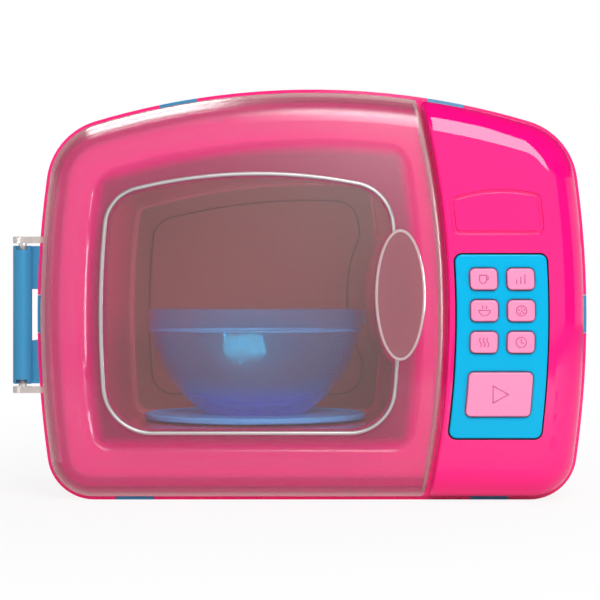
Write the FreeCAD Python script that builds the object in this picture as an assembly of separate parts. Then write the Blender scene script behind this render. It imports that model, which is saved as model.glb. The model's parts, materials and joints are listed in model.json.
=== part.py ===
import FreeCAD
import Part
import math
import os

Vector = FreeCAD.Vector

# A toy microwave oven: a tub-shaped body, a front with a control panel, a see-through door on a
# side hinge, press keys on a spring plate, an oven liner, a turntable and a loose bowl.
# Axes: x to the right as seen from the front, y to the back, z up. The pieces are drawn with
# y = 0 at the rim of the body and moved at the end, so that the origin is the centre of the base.

# Body outline and walls
BODY_WIDTH = 274.5
BODY_HEIGHT = 205.0
BODY_DEPTH = 153.0
SIDE_BOW_RADIUS = 505.0
SIDE_BOW_HEIGHT = 92.0
TOP_ARCH_RADIUS = 377.0
TOP_CORNER_RADIUS = 34.0
BOTTOM_CORNER_RADIUS = 23.5
BACK_EDGE_RADIUS = 14.0
BODY_WALL = 2.5

# Front: the fascia and the door stand a step inside the body outline
FRONT_STEP = 2.0
FRONT_DEPTH = 18.0
FRONT_EDGE_LAND = 0.7
FASCIA_WALL = 2.5
FASCIA_FLANGE_DEPTH = 12.0
FASCIA_FLANGE_WALL = 2.0
FLANGE_CLEARANCE = 0.3
PANEL_EDGE_RADIUS = 2.0
OPENING_EDGE_RADIUS = 1.0

# Oven cavity
CAVITY_LEFT_MARGIN = 34.4
CAVITY_RIGHT_MARGIN = 25.0
CAVITY_FLOOR = 35.5
CAVITY_TOP_MARGIN = 44.4
CAVITY_ARCH_RADIUS = 252.0
CAVITY_ARCH_SHIFT = 4.3
CAVITY_BOTTOM_RIGHT_RADIUS = 21.0
CAVITY_TOP_RIGHT_RADIUS = 20.4
CAVITY_TOP_LEFT_RADIUS = 18.6
CAVITY_BOTTOM_LEFT_RADIUS = 22.8
LINER_WALL = 2.0
LINER_RIM = 5.0
LINER_TOP_MARGIN = 37.8
LINER_BACK_RADIUS = 2.5
REAR_WINDOW_CORNER = 2.0
BACK_PANEL_WALL = 2.0
BACK_PANEL_GAP = 1.5
BACK_PAD_INSET = 5.5
BACK_PAD_HEIGHT = 1.2
BACK_PAD_CORNER = 13.0
CATCH_BUMP_HALF_WIDTH = 12.0
CATCH_BUMP_HALF_HEIGHT = 35.0

# Door
DOOR_GAP = 2.0
DOOR_BACK_GAP = 0.3
DOOR_PROUD = 0.5
DOOR_WALL = 2.2
DOOR_EDGE_RADIUS = 2.4
RECESS_DEPTH = 3.5
RECESS_LEFT_MARGIN = 27.0
RECESS_RIGHT_MARGIN = 13.0
RECESS_TOP_MARGIN = 28.5
RECESS_BOTTOM = 27.6
RECESS_TOP_LEFT_RADIUS = 13.0
RECESS_BOTTOM_LEFT_RADIUS = 9.0
RECESS_RIGHT_RADIUS = 11.0
RECESS_LIP_RADIUS = 2.8

# Window trim bead and oval pull on the door
TRIM_OFFSET = 1.3
TRIM_WIDTH = 2.0
TRIM_HEIGHT = 1.5
TRIM_EDGE_RADIUS = 0.9
TRIM_GROOVE = 0.6
TRIM_CLEARANCE = 0.1
TRIM_END_CLEARANCE = 0.3
PULL_HALF_WIDTH = 12.5
PULL_HALF_HEIGHT = 32.3
PULL_RIGHT_MARGIN = 22.9
PULL_RAISE = 4.15
PULL_PLATE = 2.8
PULL_EDGE_RADIUS = 0.8
PULL_NECK_HEIGHT = 3.8
PULL_NECK_INSET = 4.5
PULL_RIM = 1.5
PULL_DISH = 0.7
PULL_PIN_RADIUS = 1.6
PULL_PIN_SPREAD = 18.0
PULL_PIN_CLEARANCE = 0.08

# Hinge
HINGE_REACH = 7.0
HINGE_FORWARD = 3.0
HINGE_HEIGHT = 92.4
BARREL_RADIUS = 4.75
BARREL_LENGTH = 68.75
BARREL_EDGE_RADIUS = 0.7
LUG_THICKNESS = 3.2
LUG_GAP = 1.25
HINGE_PIN_RADIUS = 2.0
HINGE_PIN_LENGTH = 7.0
HINGE_PIN_CLEARANCE = 0.06
BARREL_NOTCH_WIDTH = 5.5
BARREL_NOTCH_DEPTH = 2.2
HINGE_SLOT_LENGTH = 25.7
HINGE_FOOT_THICKNESS = 3.2
HINGE_WEB_FRONT = 0.3
HINGE_FOOT_MARGIN = 6.0
HINGE_FOOT_CLEARANCE = 0.05

# Snap clips that lock the fascia into the body
CLIP_WIDTH = 18.75
CLIP_DEPTH = 11.0
CLIP_CLEARANCE = 0.15
CLIP_HOOK_WIDTH = 13.0
CLIP_HOOK_DEPTH = 4.0
CLIP_HOOK_START = 4.0
CLIP_HOOK_OVER = 0.8
CLIP_TOP_X = 67.0
CLIP_BOTTOM_X = 88.5
CLIP_SIDE_HEIGHT = 92.8

# Door catch, behind the pull
CATCH_TAB_WIDTH = 2.0
CATCH_TAB_HEIGHT = 12.0
CATCH_TAB_REACH = 7.0
CATCH_SLOT_CLEARANCE = 0.6
CATCH_LEAF = 1.2
CATCH_LEAF_GAP = 0.4
CATCH_LEAF_LENGTH = 8.0
CATCH_FOOT = 5.0
CATCH_FOOT_WALL = 1.5
CATCH_PEG_RADIUS = 1.0
CATCH_PEG_CLEARANCE = 0.1

# Keypad and keys
FIELD_MARGIN = 4.9
FIELD_SIDE_MARGIN = 21.45
KEYPAD_BOTTOM = 31.9
KEYPAD_CORNER = 3.5
KEYPAD_PROUD = 0.9
KEYPAD_EDGE_RADIUS = 0.8
KEYPAD_GAP = 0.8
KEYPAD_WALL = 2.0
KEYPAD_SIDE_WALL = 1.8
KEYPAD_LIP_WALL = 2.0
KEYPAD_LIP_GAP = 0.4
KEYPAD_LIP_RIGHT = 4.0
KEYPAD_LIP_END = 8.0
KEY_WIDTH = 13.3
KEY_COLUMN_GAP = 4.8
KEY_HEIGHT = 10.4
KEY_PITCH = 15.5
KEY_TOP_MARGIN = 6.9
KEY_SIDE_MARGIN = 6.75
KEY_ROWS = 3
KEY_COLUMNS = 2
KEY_CORNER = 2.4
KEY_EDGE_RADIUS = 0.8
KEY_PROUD = 2.0
KEY_GAP = 0.5
KEY_SEAT_GAP = 0.05
KEY_FLANGE = 1.2
KEY_TRAVEL = 1.8
KEY_STOP_GAP = 0.1
KEY_STEM_RADIUS = 2.0
START_HEIGHT = 21.6
START_GAP = 9.5
START_BOTTOM_MARGIN = 10.8
SPRING_PLATE = 1.2
SPRING_PLATE_MARGIN = 0.2
TONGUE_SLOT = 0.8
TONGUE_HALF_WIDTH = 3.0
TONGUE_END_MARGIN = 1.4

# Blank name field above the keypad
NAME_GAP = 9.7
NAME_HEIGHT = 22.4
NAME_ARCH_RADIUS = 75.0
NAME_CORNER = 4.0
NAME_GROOVE_WIDTH = 2.0
NAME_GROOVE_DEPTH = 0.9
NAME_LIP_RADIUS = 0.4

# Turntable and spindle
TURNTABLE_SHIFT = 0.925
TURNTABLE_SIDE_GAP = 1.9
TURNTABLE_THICKNESS = 3.2
TURNTABLE_LIFT = 0.8
TURNTABLE_EDGE_RADIUS = 0.9
TURNTABLE_BEAD_WIDTH = 2.2
TURNTABLE_DISH = 0.6
HUB_RADIUS = 8.5
HUB_LENGTH = 7.8
HUB_TOP_SKIN = 2.4
WELL_CLEARANCE = 2.5
WELL_WALL = 2.0
WELL_FLOOR_GAP = 0.3
SPINDLE_RADIUS = 4.0
SPINDLE_CLEARANCE = 0.06
SPINDLE_SEAT_CLEARANCE = 0.02
SPINDLE_HEAD_RADIUS = 7.0
SPINDLE_HEAD = 2.0
SPINDLE_TOP_GAP = 0.4

# Bowl
BOWL_RIM_INSET = 1.8
BOWL_HEIGHT = 55.9
BOWL_BASE_RADIUS = 26.5
BOWL_BAND_HEIGHT = 11.5
BOWL_BAND_STEP = 1.3
BOWL_BULGE = 5.5
BOWL_WALL = 2.3
BOWL_BASE = 5.0
BOWL_GAP = 0.1
BOWL_LIP_WIDTH = 14.0
BOWL_LIP_REACH = 1.9
BOWL_LIP_HEIGHT = 8.0
BOWL_LIP_RADIUS = 1.5
BOWL_EDGE_RADIUS = 0.7

# Screws: the small size holds the keypad, the large one everything else
SMALL_SCREW_RADIUS = 1.0
SMALL_HEAD_RADIUS = 2.2
SMALL_HEAD = 1.4
SMALL_SCREW_BITE = 1.4
KEYPAD_SCREW_END = 4.0
KEYPAD_SCREW_SIDE = 7.0
KEYPAD_BOSS_RADIUS = 2.9
KEYPAD_BOSS_CLEARANCE = 0.2
SCREW_RADIUS = 1.3
SCREW_HEAD_RADIUS = 2.8
SCREW_HEAD = 1.6
SCREW_HOLE_CLEARANCE = 0.05
SCREW_PASS_CLEARANCE = 0.3
SCREW_SLOT_WIDTH = 0.7
SCREW_SLOT_DEPTH = 0.7
LINER_BOSS_RADIUS = 3.6
LINER_BOSS_HEIGHT = 6.0
LINER_EAR = 2.0
LINER_BOSS_OUT = 8.0
LINER_SCREW_SKIN = 1.0
REAR_BOSS_LENGTH = 14.0
REAR_SCREW_BITE = 9.0
REAR_HEAD_RECESS = 1.7
HINGE_SCREW_BITE = 2.2
HINGE_SCREW_MARGIN = 1.2

# Places that follow from the sizes
HALF = BODY_WIDTH / 2
BOW_X = HALF - SIDE_BOW_RADIUS
KEYS_WIDTH = KEY_COLUMNS * KEY_WIDTH + (KEY_COLUMNS - 1) * KEY_COLUMN_GAP
KEYS_HEIGHT = KEY_HEIGHT + (KEY_ROWS - 1) * KEY_PITCH
FIELD_WIDTH = KEYS_WIDTH + 2 * KEY_SIDE_MARGIN
CONTROL_WIDTH = FIELD_MARGIN + FIELD_WIDTH + FIELD_SIDE_MARGIN
DIVIDE_RADIUS = SIDE_BOW_RADIUS - CONTROL_WIDTH
DIVIDE_X = BOW_X + DIVIDE_RADIUS
DOOR_EDGE_BOW = DIVIDE_RADIUS - DOOR_GAP / 2
PANEL_EDGE_BOW = DIVIDE_RADIUS + DOOR_GAP / 2
PANEL_FRONT = -FRONT_DEPTH
PANEL_INSIDE = PANEL_FRONT + FASCIA_WALL
FASCIA_FRONT = -FASCIA_WALL
DOOR_BACK = FASCIA_FRONT - DOOR_BACK_GAP
DOOR_FRONT = PANEL_FRONT - DOOR_PROUD
FRONT_EDGE_RADIUS = DOOR_BACK - FRONT_EDGE_LAND - DOOR_FRONT
PANE_FRONT = DOOR_FRONT + RECESS_DEPTH
PANE_BACK = PANE_FRONT + DOOR_WALL
CAVITY_LEFT = CAVITY_LEFT_MARGIN - HALF
CAVITY_RIGHT = DIVIDE_X - CAVITY_RIGHT_MARGIN
CAVITY_TOP = BODY_HEIGHT - CAVITY_TOP_MARGIN
CAVITY_MIDDLE = (CAVITY_LEFT + CAVITY_RIGHT) / 2
LINER_TOP = BODY_HEIGHT - LINER_TOP_MARGIN
LINER_CORNER_RADIUS = LINER_RIM + REAR_WINDOW_CORNER
PAD_EDGE = LINER_RIM + BACK_PAD_INSET
BODY_BACK_INSIDE = BODY_DEPTH - BODY_WALL
BACK_PANEL_BACK = BODY_BACK_INSIDE - BACK_PANEL_GAP
BACK_PANEL_FRONT = BACK_PANEL_BACK - BACK_PANEL_WALL
CAVITY_DEPTH = BACK_PANEL_FRONT - LINER_WALL
PULL_X = DIVIDE_X - PULL_RIGHT_MARGIN
PULL_HEIGHT = (CAVITY_FLOOR + CAVITY_TOP) / 2 + PULL_RAISE
HINGE_X = -HALF - HINGE_REACH
HINGE_Y = -HINGE_FORWARD
HINGE_SCREW_Y = FASCIA_FLANGE_DEPTH + SCREW_HEAD_RADIUS + HINGE_SCREW_MARGIN
HINGE_FOOT_BACK = HINGE_SCREW_Y + HINGE_FOOT_MARGIN
BARREL_LOW = HINGE_HEIGHT - BARREL_LENGTH / 2
BARREL_HIGH = HINGE_HEIGHT + BARREL_LENGTH / 2
START_LOW = KEYPAD_BOTTOM + START_BOTTOM_MARGIN
KEYS_LOW = START_LOW + START_HEIGHT + START_GAP
KEYPAD_TOP = KEYS_LOW + KEYS_HEIGHT + KEY_TOP_MARGIN
NAME_BOTTOM = KEYPAD_TOP + NAME_GAP
KEYPAD_FACE = PANEL_FRONT - KEYPAD_PROUD
KEY_SEAT = KEYPAD_FACE + KEYPAD_WALL
KEYPAD_LIP_BACK = PANEL_INSIDE + KEYPAD_LIP_WALL
KEY_FLANGE_BACK = KEYPAD_LIP_BACK - KEY_TRAVEL - KEY_STOP_GAP
SPRING_PLATE_BACK = KEYPAD_LIP_BACK + SPRING_PLATE
FIELD_LEFT = DIVIDE_RADIUS + FIELD_MARGIN
FIELD_RIGHT = FIELD_LEFT + FIELD_WIDTH
KEYS_LEFT = FIELD_LEFT + KEY_SIDE_MARGIN
CATCH_X = PULL_X
CATCH_LOW = PULL_HEIGHT - CATCH_TAB_HEIGHT / 2
CATCH_HIGH = PULL_HEIGHT + CATCH_TAB_HEIGHT / 2
TURNTABLE_X = CAVITY_MIDDLE + TURNTABLE_SHIFT
TURNTABLE_Y = CAVITY_DEPTH / 2
CATCH_BUMP_REACH = PULL_X - CATCH_BUMP_HALF_WIDTH - TURNTABLE_X
TURNTABLE_RADIUS = min(CATCH_BUMP_REACH, TURNTABLE_Y) - TURNTABLE_SIDE_GAP
TURNTABLE_LOW = CAVITY_FLOOR + TURNTABLE_LIFT
TURNTABLE_TOP = TURNTABLE_LOW + TURNTABLE_THICKNESS
HUB_LOW = TURNTABLE_LOW - HUB_LENGTH
WELL_RADIUS = HUB_RADIUS + WELL_CLEARANCE
WELL_FLOOR = HUB_LOW - WELL_FLOOR_GAP
BOWL_RIM_RADIUS = TURNTABLE_RADIUS - BOWL_RIM_INSET
BOWL_LOW = TURNTABLE_TOP - TURNTABLE_DISH + BOWL_GAP

# How far a cutter runs past what it cuts, and how far joined shapes run into each other
BEYOND = 5.0
OVERLAP = 1.0

# How closely an edge lies on the plane or the curve that picks it out
SLACK = 1e-3


# Outlines in the x-z plane: four sides, each straight or bowed, with rounded corners

class Straight:
    """A straight side through a point, with the direction that points into the outline."""

    def __init__(self, x, z, inward_x, inward_z):
        self.x = x
        self.z = z
        self.inward = (inward_x, inward_z)

    def inset(self, distance):
        shift_x = self.inward[0] * distance
        shift_z = self.inward[1] * distance
        return Straight(self.x + shift_x, self.z + shift_z, *self.inward)

    def foot(self, point):
        across = (point[0] - self.x) * self.inward[0] + (point[1] - self.z) * self.inward[1]
        return (point[0] - across * self.inward[0], point[1] - across * self.inward[1])

    def edge(self, start, end):
        return Part.makeLine(Vector(start[0], 0, start[1]), Vector(end[0], 0, end[1]))


class Bow:
    """A side on a circle. A hollow side has the outline outside its circle."""

    def __init__(self, x, z, radius, hollow=False):
        self.x = x
        self.z = z
        self.radius = radius
        self.hollow = hollow

    def inset(self, distance):
        smaller = -distance if self.hollow else distance
        return Bow(self.x, self.z, self.radius - smaller, self.hollow)

    def foot(self, point):
        away_x = point[0] - self.x
        away_z = point[1] - self.z
        scale = self.radius / math.hypot(away_x, away_z)
        return (self.x + away_x * scale, self.z + away_z * scale)

    def edge(self, start, end):
        middle = self.foot(((start[0] + end[0]) / 2, (start[1] + end[1]) / 2))
        points = [Vector(p[0], 0, p[1]) for p in (start, middle, end)]
        return Part.Arc(*points).toShape()


def crossing(first, second, near, rounds=200):
    """The point where two sides meet, found by stepping from one side to the other."""
    for _ in range(rounds):
        near = second.foot(first.foot(near))
    return near


class Outline:
    """Sides in the order bottom, right, top, left, and corner radii from bottom right on."""

    def __init__(self, bottom, right, top, left, radii, low, high):
        self.sides = [bottom, right, top, left]
        self.radii = radii
        near = [(high[0], low[1]), (high[0], high[1]), (low[0], high[1]), (low[0], low[1])]
        self.centres = []
        for i, radius in enumerate(radii):
            first = self.sides[i].inset(radius)
            second = self.sides[(i + 1) % 4].inset(radius)
            self.centres.append(crossing(first, second, near[i]))

    def wire(self, grow=0.0):
        sides = [side.inset(-grow) for side in self.sides]
        starts = [sides[i].foot(self.centres[i]) for i in range(4)]
        ends = [sides[(i + 1) % 4].foot(self.centres[i]) for i in range(4)]
        edges = []
        for i in range(4):
            corner = Bow(*self.centres[i], self.radii[i] + grow)
            edges.append(corner.edge(starts[i], ends[i]))
            edges.append(sides[(i + 1) % 4].edge(ends[i], starts[(i + 1) % 4]))
        return Part.Wire(edges)

    def prism(self, front, back, grow=0.0):
        face = Part.Face(self.wire(grow))
        face.translate(Vector(0, front, 0))
        return face.extrude(Vector(0, back - front, 0))

    def pillow(self, open_end, closed_end, radius, grow=0.0):
        """A prism whose edges at the closed end are rounded."""
        solid = self.prism(open_end, closed_end, grow)
        return rounded(solid, radius, lambda edge: in_plane(edge, closed_end))

    def ring(self, front, back, outer, inner):
        return self.prism(front, back, outer).cut(self.prism(front, back, inner))


# Small shapes

def in_plane(edge, y):
    return all(abs(vertex.Y - y) < SLACK for vertex in edge.Vertexes)


def rounded(solid, radius, chosen):
    return solid.makeFillet(radius, [edge for edge in solid.Edges if chosen(edge)])


def box(x, y, z):
    """A box from its ranges on the three axes."""
    return Part.makeBox(x[1] - x[0], y[1] - y[0], z[1] - z[0], Vector(x[0], y[0], z[0]))


def rod(x, z, radius, front, back):
    return Part.makeCylinder(radius, back - front, Vector(x, front, z), Vector(0, 1, 0))


def post(x, y, radius, low, high):
    return Part.makeCylinder(radius, high - low, Vector(x, y, low))


def oval(half_width, half_height, front, back):
    """An upright elliptic prism behind the door pull."""
    centre = Vector(PULL_X, front, PULL_HEIGHT)
    tip = centre + Vector(0, 0, half_height)
    side = centre + Vector(half_width, 0, 0)
    edge = Part.Ellipse(tip, side, centre).toShape()
    return Part.Face(Part.Wire(edge)).extrude(Vector(0, back - front, 0))


def bow_cylinder(radius):
    """Everything left of a bow that runs parallel to the right side of the body."""
    span = 2 * (FRONT_DEPTH + BODY_DEPTH)
    return rod(BOW_X, SIDE_BOW_HEIGHT, radius, -span / 2, span / 2)


def bow_at(radius, height):
    """The x of such a bow at a height."""
    return BOW_X + math.sqrt(radius**2 - (height - SIDE_BOW_HEIGHT) ** 2)


def right_bow(radius, hollow=False):
    return Bow(BOW_X, SIDE_BOW_HEIGHT, radius, hollow)


def left_bow(radius):
    return Bow(-BOW_X, SIDE_BOW_HEIGHT, radius)


def floor_side(z):
    return Straight(0, z, 0, 1)


def ceiling_side(z):
    return Straight(0, z, 0, -1)


def band(left, right, low, high, corner):
    """A field on the control panel: level ends, and sides parallel to the body's right side."""
    return Outline(
        floor_side(low), right_bow(right), ceiling_side(high), right_bow(left, hollow=True),
        [corner] * 4, (BOW_X + left, low), (BOW_X + right, high),
    )


def screw(radius, length, head_radius, head):
    """A slotted screw along y: its shank runs to the front of y = 0 and its head behind it."""
    shank = rod(0, 0, radius, -length, 0)
    cap = rod(0, 0, head_radius, 0, head)
    across = (-head_radius, head_radius)
    half_slot = SCREW_SLOT_WIDTH / 2
    slot = box(across, (head - SCREW_SLOT_DEPTH, head), (-half_slot, half_slot))
    return shank.fuse(cap).cut(slot)


def placed(shape, x, y, z):
    copy = shape.copy()
    copy.translate(Vector(x, y, z))
    return copy


BODY = Outline(
    floor_side(0),
    right_bow(SIDE_BOW_RADIUS),
    Bow(0, BODY_HEIGHT - TOP_ARCH_RADIUS, TOP_ARCH_RADIUS),
    left_bow(SIDE_BOW_RADIUS),
    [BOTTOM_CORNER_RADIUS, TOP_CORNER_RADIUS, TOP_CORNER_RADIUS, BOTTOM_CORNER_RADIUS],
    (-HALF, 0), (HALF, BODY_HEIGHT),
)
CAVITY = Outline(
    floor_side(CAVITY_FLOOR),
    right_bow(DIVIDE_RADIUS - CAVITY_RIGHT_MARGIN),
    Bow(CAVITY_MIDDLE + CAVITY_ARCH_SHIFT, CAVITY_TOP - CAVITY_ARCH_RADIUS, CAVITY_ARCH_RADIUS),
    left_bow(SIDE_BOW_RADIUS - CAVITY_LEFT_MARGIN),
    [
        CAVITY_BOTTOM_RIGHT_RADIUS, CAVITY_TOP_RIGHT_RADIUS,
        CAVITY_TOP_LEFT_RADIUS, CAVITY_BOTTOM_LEFT_RADIUS,
    ],
    (CAVITY_LEFT, CAVITY_FLOOR), (CAVITY_RIGHT, CAVITY_TOP),
)


def liner_outline(radius):
    """The liner runs behind the opening: same floor and sides, a higher arch and equal corners."""
    return Outline(
        CAVITY.sides[0], CAVITY.sides[1],
        Bow(0, BODY_HEIGHT - TOP_ARCH_RADIUS, TOP_ARCH_RADIUS - LINER_TOP_MARGIN),
        CAVITY.sides[3], [radius] * 4, (CAVITY_LEFT, CAVITY_FLOOR), (CAVITY_RIGHT, LINER_TOP),
    )


LINER = liner_outline(LINER_CORNER_RADIUS)
BACK_PAD = liner_outline(PAD_EDGE + BACK_PAD_CORNER)
RECESS = Outline(
    floor_side(RECESS_BOTTOM),
    right_bow(DIVIDE_RADIUS - RECESS_RIGHT_MARGIN),
    Bow(0, BODY_HEIGHT - TOP_ARCH_RADIUS, TOP_ARCH_RADIUS - RECESS_TOP_MARGIN),
    left_bow(SIDE_BOW_RADIUS - RECESS_LEFT_MARGIN),
    [RECESS_RIGHT_RADIUS, RECESS_RIGHT_RADIUS, RECESS_TOP_LEFT_RADIUS, RECESS_BOTTOM_LEFT_RADIUS],
    (RECESS_LEFT_MARGIN - HALF, RECESS_BOTTOM),
    (DIVIDE_X - RECESS_RIGHT_MARGIN, BODY_HEIGHT - RECESS_TOP_MARGIN),
)
KEYPAD = band(FIELD_LEFT, FIELD_RIGHT, KEYPAD_BOTTOM, KEYPAD_TOP, KEYPAD_CORNER)
KEYPAD_LIP = band(
    PANEL_EDGE_BOW + FASCIA_WALL + KEYPAD_LIP_GAP, FIELD_RIGHT + KEYPAD_LIP_RIGHT,
    KEYPAD_BOTTOM - KEYPAD_LIP_END, KEYPAD_TOP + KEYPAD_LIP_END, KEYPAD_CORNER,
)


def catch_bump(front, back, grow=0.0):
    return oval(CATCH_BUMP_HALF_WIDTH + grow, CATCH_BUMP_HALF_HEIGHT + grow, front, back)


def cavity_space(outline, front, back, grow=0.0):
    """An outline of the oven with the catch bump left standing on its right side."""
    return outline.prism(front, back, grow).cut(catch_bump(front, back, -grow))


# Where the repeated pieces go

def clip_places():
    """Name, centre on the outline and tilt of the outward direction from straight up."""
    arch_z = BODY_HEIGHT - TOP_ARCH_RADIUS
    top_tilt = math.degrees(math.asin(CLIP_TOP_X / TOP_ARCH_RADIUS))
    top_z = arch_z + math.sqrt(TOP_ARCH_RADIUS**2 - CLIP_TOP_X**2)
    side_tilt = math.degrees(math.asin((CLIP_SIDE_HEIGHT - SIDE_BOW_HEIGHT) / SIDE_BOW_RADIUS))
    side_x = bow_at(SIDE_BOW_RADIUS, CLIP_SIDE_HEIGHT)
    return [
        ("clip_top_left", -CLIP_TOP_X, top_z, -top_tilt),
        ("clip_top_right", CLIP_TOP_X, top_z, top_tilt),
        ("clip_right", side_x, CLIP_SIDE_HEIGHT, 90 - side_tilt),
        ("clip_bottom_right", CLIP_BOTTOM_X, 0, 180),
        ("clip_bottom_left", -CLIP_BOTTOM_X, 0, 180),
        ("clip_left", -side_x, CLIP_SIDE_HEIGHT, side_tilt - 90),
    ]


def at_place(shape, x, z, tilt):
    """Moves a shape drawn under an outward direction of +z to its place."""
    shape.rotate(Vector(0, 0, 0), Vector(0, 1, 0), tilt)
    shape.translate(Vector(x, 0, z))
    return shape


def liner_boss_places():
    """Centre and outward tilt of a screw place off each corner of the liner."""
    places = []
    reach = LINER_CORNER_RADIUS + LINER_BOSS_OUT
    for centre, tilt in zip(LINER.centres, (135, 45, -45, -135)):
        x = centre[0] + reach * math.sin(math.radians(tilt))
        z = centre[1] + reach * math.cos(math.radians(tilt))
        places.append((x, z, tilt))
    return places


def keypad_screw_places():
    places = []
    for height in (KEYPAD_BOTTOM - KEYPAD_SCREW_END, KEYPAD_TOP + KEYPAD_SCREW_END):
        for radius in (FIELD_LEFT + KEYPAD_SCREW_SIDE, FIELD_RIGHT - KEYPAD_SCREW_SIDE):
            places.append((bow_at(radius, height), height))
    return places


def hinge_screw_heights():
    middle = (BARREL_LENGTH + HINGE_SLOT_LENGTH) / 4
    return (HINGE_HEIGHT - middle, HINGE_HEIGHT + middle)


def key_fields():
    """Name, outline and centre of every key: rows of small keys, then the wide start key."""
    fields = []
    for row in range(KEY_ROWS):
        low = KEYS_LOW + (KEY_ROWS - 1 - row) * KEY_PITCH
        for column in range(KEY_COLUMNS):
            left = KEYS_LEFT + column * (KEY_WIDTH + KEY_COLUMN_GAP)
            outline = band(left, left + KEY_WIDTH, low, low + KEY_HEIGHT, KEY_CORNER)
            middle = low + KEY_HEIGHT / 2
            centre = bow_at(left + KEY_WIDTH / 2, middle)
            name = f"key_{row * KEY_COLUMNS + column + 1}"
            fields.append((name, outline, centre, middle, KEY_WIDTH))
    right = KEYS_LEFT + KEYS_WIDTH
    outline = band(KEYS_LEFT, right, START_LOW, START_LOW + START_HEIGHT, KEY_CORNER)
    middle = START_LOW + START_HEIGHT / 2
    centre = bow_at(KEYS_LEFT + KEYS_WIDTH / 2, middle)
    fields.append(("start_key", outline, centre, middle, KEYS_WIDTH))
    return fields


# The pieces

def body_shell():
    """The tub: side walls and back in one moulding, open at the front."""
    outside = BODY.pillow(0, BODY_DEPTH, BACK_EDGE_RADIUS)
    inside = BODY.pillow(-BEYOND, BODY_BACK_INSIDE, BACK_EDGE_RADIUS - BODY_WALL, -BODY_WALL)
    shell = outside.cut(inside)
    for x, height, _ in liner_boss_places():
        shell = shell.fuse(rod(x, height, LINER_BOSS_RADIUS, BACK_PANEL_BACK, BODY_DEPTH - BODY_WALL))
        shell = shell.cut(rod(x, height, SCREW_RADIUS + SCREW_PASS_CLEARANCE, 0, BODY_DEPTH + BEYOND))
        recess = SCREW_HEAD_RADIUS + SCREW_PASS_CLEARANCE
        shell = shell.cut(rod(x, height, recess, BODY_DEPTH - REAR_HEAD_RECESS, BODY_DEPTH + BEYOND))
    half = CLIP_WIDTH / 2 + CLIP_CLEARANCE
    for _, x, z, tilt in clip_places():
        notch = box((-half, half), (-BEYOND, CLIP_DEPTH + CLIP_CLEARANCE), (-BODY_WALL - OVERLAP, BEYOND))
        shell = shell.cut(at_place(notch, x, z, tilt))
    for height in hinge_screw_heights():
        hole = Part.makeCylinder(
            SCREW_RADIUS + SCREW_PASS_CLEARANCE, 2 * BEYOND,
            Vector(-HALF - BEYOND, HINGE_SCREW_Y, height), Vector(1, 0, 0),
        )
        shell = shell.cut(hole)
    return shell


def front_fascia():
    """The front moulding: a plate behind the door, and the raised control panel beside it."""
    plate = BODY.prism(FASCIA_FRONT, 0, -FRONT_STEP).cut(CAVITY.prism(-BEYOND, BEYOND))
    plate = rounded(plate, OPENING_EDGE_RADIUS, on_opening).fuse(catch_bump(FASCIA_FRONT, 0))
    block = BODY.pillow(0, PANEL_FRONT, FRONT_EDGE_RADIUS, -FRONT_STEP)
    block = block.cut(bow_cylinder(PANEL_EDGE_BOW))
    block = rounded(block, PANEL_EDGE_RADIUS, lambda edge: on_bow(edge, PANEL_EDGE_BOW, 0))
    hollow = BODY.pillow(
        BEYOND, PANEL_INSIDE, FRONT_EDGE_RADIUS - FASCIA_WALL, -FRONT_STEP - FASCIA_WALL
    ).cut(bow_cylinder(PANEL_EDGE_BOW + FASCIA_WALL))
    fascia = plate.fuse(block).cut(hollow)
    outer = -BODY_WALL - FLANGE_CLEARANCE
    fascia = fascia.fuse(BODY.ring(0, FASCIA_FLANGE_DEPTH, outer, outer - FASCIA_FLANGE_WALL))
    fascia = fascia.cut(KEYPAD.prism(PANEL_FRONT - BEYOND, PANEL_INSIDE + BEYOND, KEYPAD_GAP))
    fascia = fascia.cut(name_groove())
    for shape in fascia_bosses():
        fascia = fascia.fuse(shape)
    for shape in fascia_holes():
        fascia = fascia.cut(shape)
    return fascia.removeSplitter()


def on_opening(edge):
    """True for the front edges of the fascia's oven opening."""
    if not in_plane(edge, FASCIA_FRONT):
        return False
    grown = CAVITY.prism(FASCIA_FRONT - OVERLAP, OVERLAP, OVERLAP)
    return all(grown.isInside(vertex.Point, SLACK, True) for vertex in edge.Vertexes)


def on_bow(edge, radius, open_end, samples=5):
    """True for an edge on a bow, other than those in the plane of the open end."""
    if in_plane(edge, open_end):
        return False
    points = edge.discretize(samples)
    return all(
        abs(math.hypot(p.x - BOW_X, p.z - SIDE_BOW_HEIGHT) - radius) < SLACK for p in points
    )


def name_groove():
    """A shallow groove round the blank name field, with softened edges."""
    top = NAME_BOTTOM + NAME_HEIGHT
    middle = BOW_X + (FIELD_LEFT + FIELD_RIGHT) / 2
    field = Outline(
        floor_side(NAME_BOTTOM), right_bow(FIELD_RIGHT),
        Bow(middle, top - NAME_ARCH_RADIUS, NAME_ARCH_RADIUS),
        right_bow(FIELD_LEFT, hollow=True), [NAME_CORNER] * 4,
        (BOW_X + FIELD_LEFT, NAME_BOTTOM), (BOW_X + FIELD_RIGHT, top),
    )
    bottom = PANEL_FRONT + NAME_GROOVE_DEPTH
    groove = field.ring(PANEL_FRONT, bottom, 0, -NAME_GROOVE_WIDTH)
    return rounded(groove, NAME_LIP_RADIUS, lambda edge: in_plane(edge, bottom))


def fascia_bosses():
    shapes = []
    for x, height, _ in liner_boss_places():
        shapes.append(rod(x, height, LINER_BOSS_RADIUS, FASCIA_FRONT / 2, LINER_BOSS_HEIGHT))
    for x, height in keypad_screw_places():
        shapes.append(rod(x, height, KEYPAD_BOSS_RADIUS, PANEL_INSIDE - FASCIA_WALL / 2, KEYPAD_LIP_BACK))
    for side in (-1, 1):
        shapes.append(catch_peg(side, CATCH_PEG_RADIUS, FASCIA_FRONT / 2, CATCH_FOOT_WALL))
    return shapes


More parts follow.
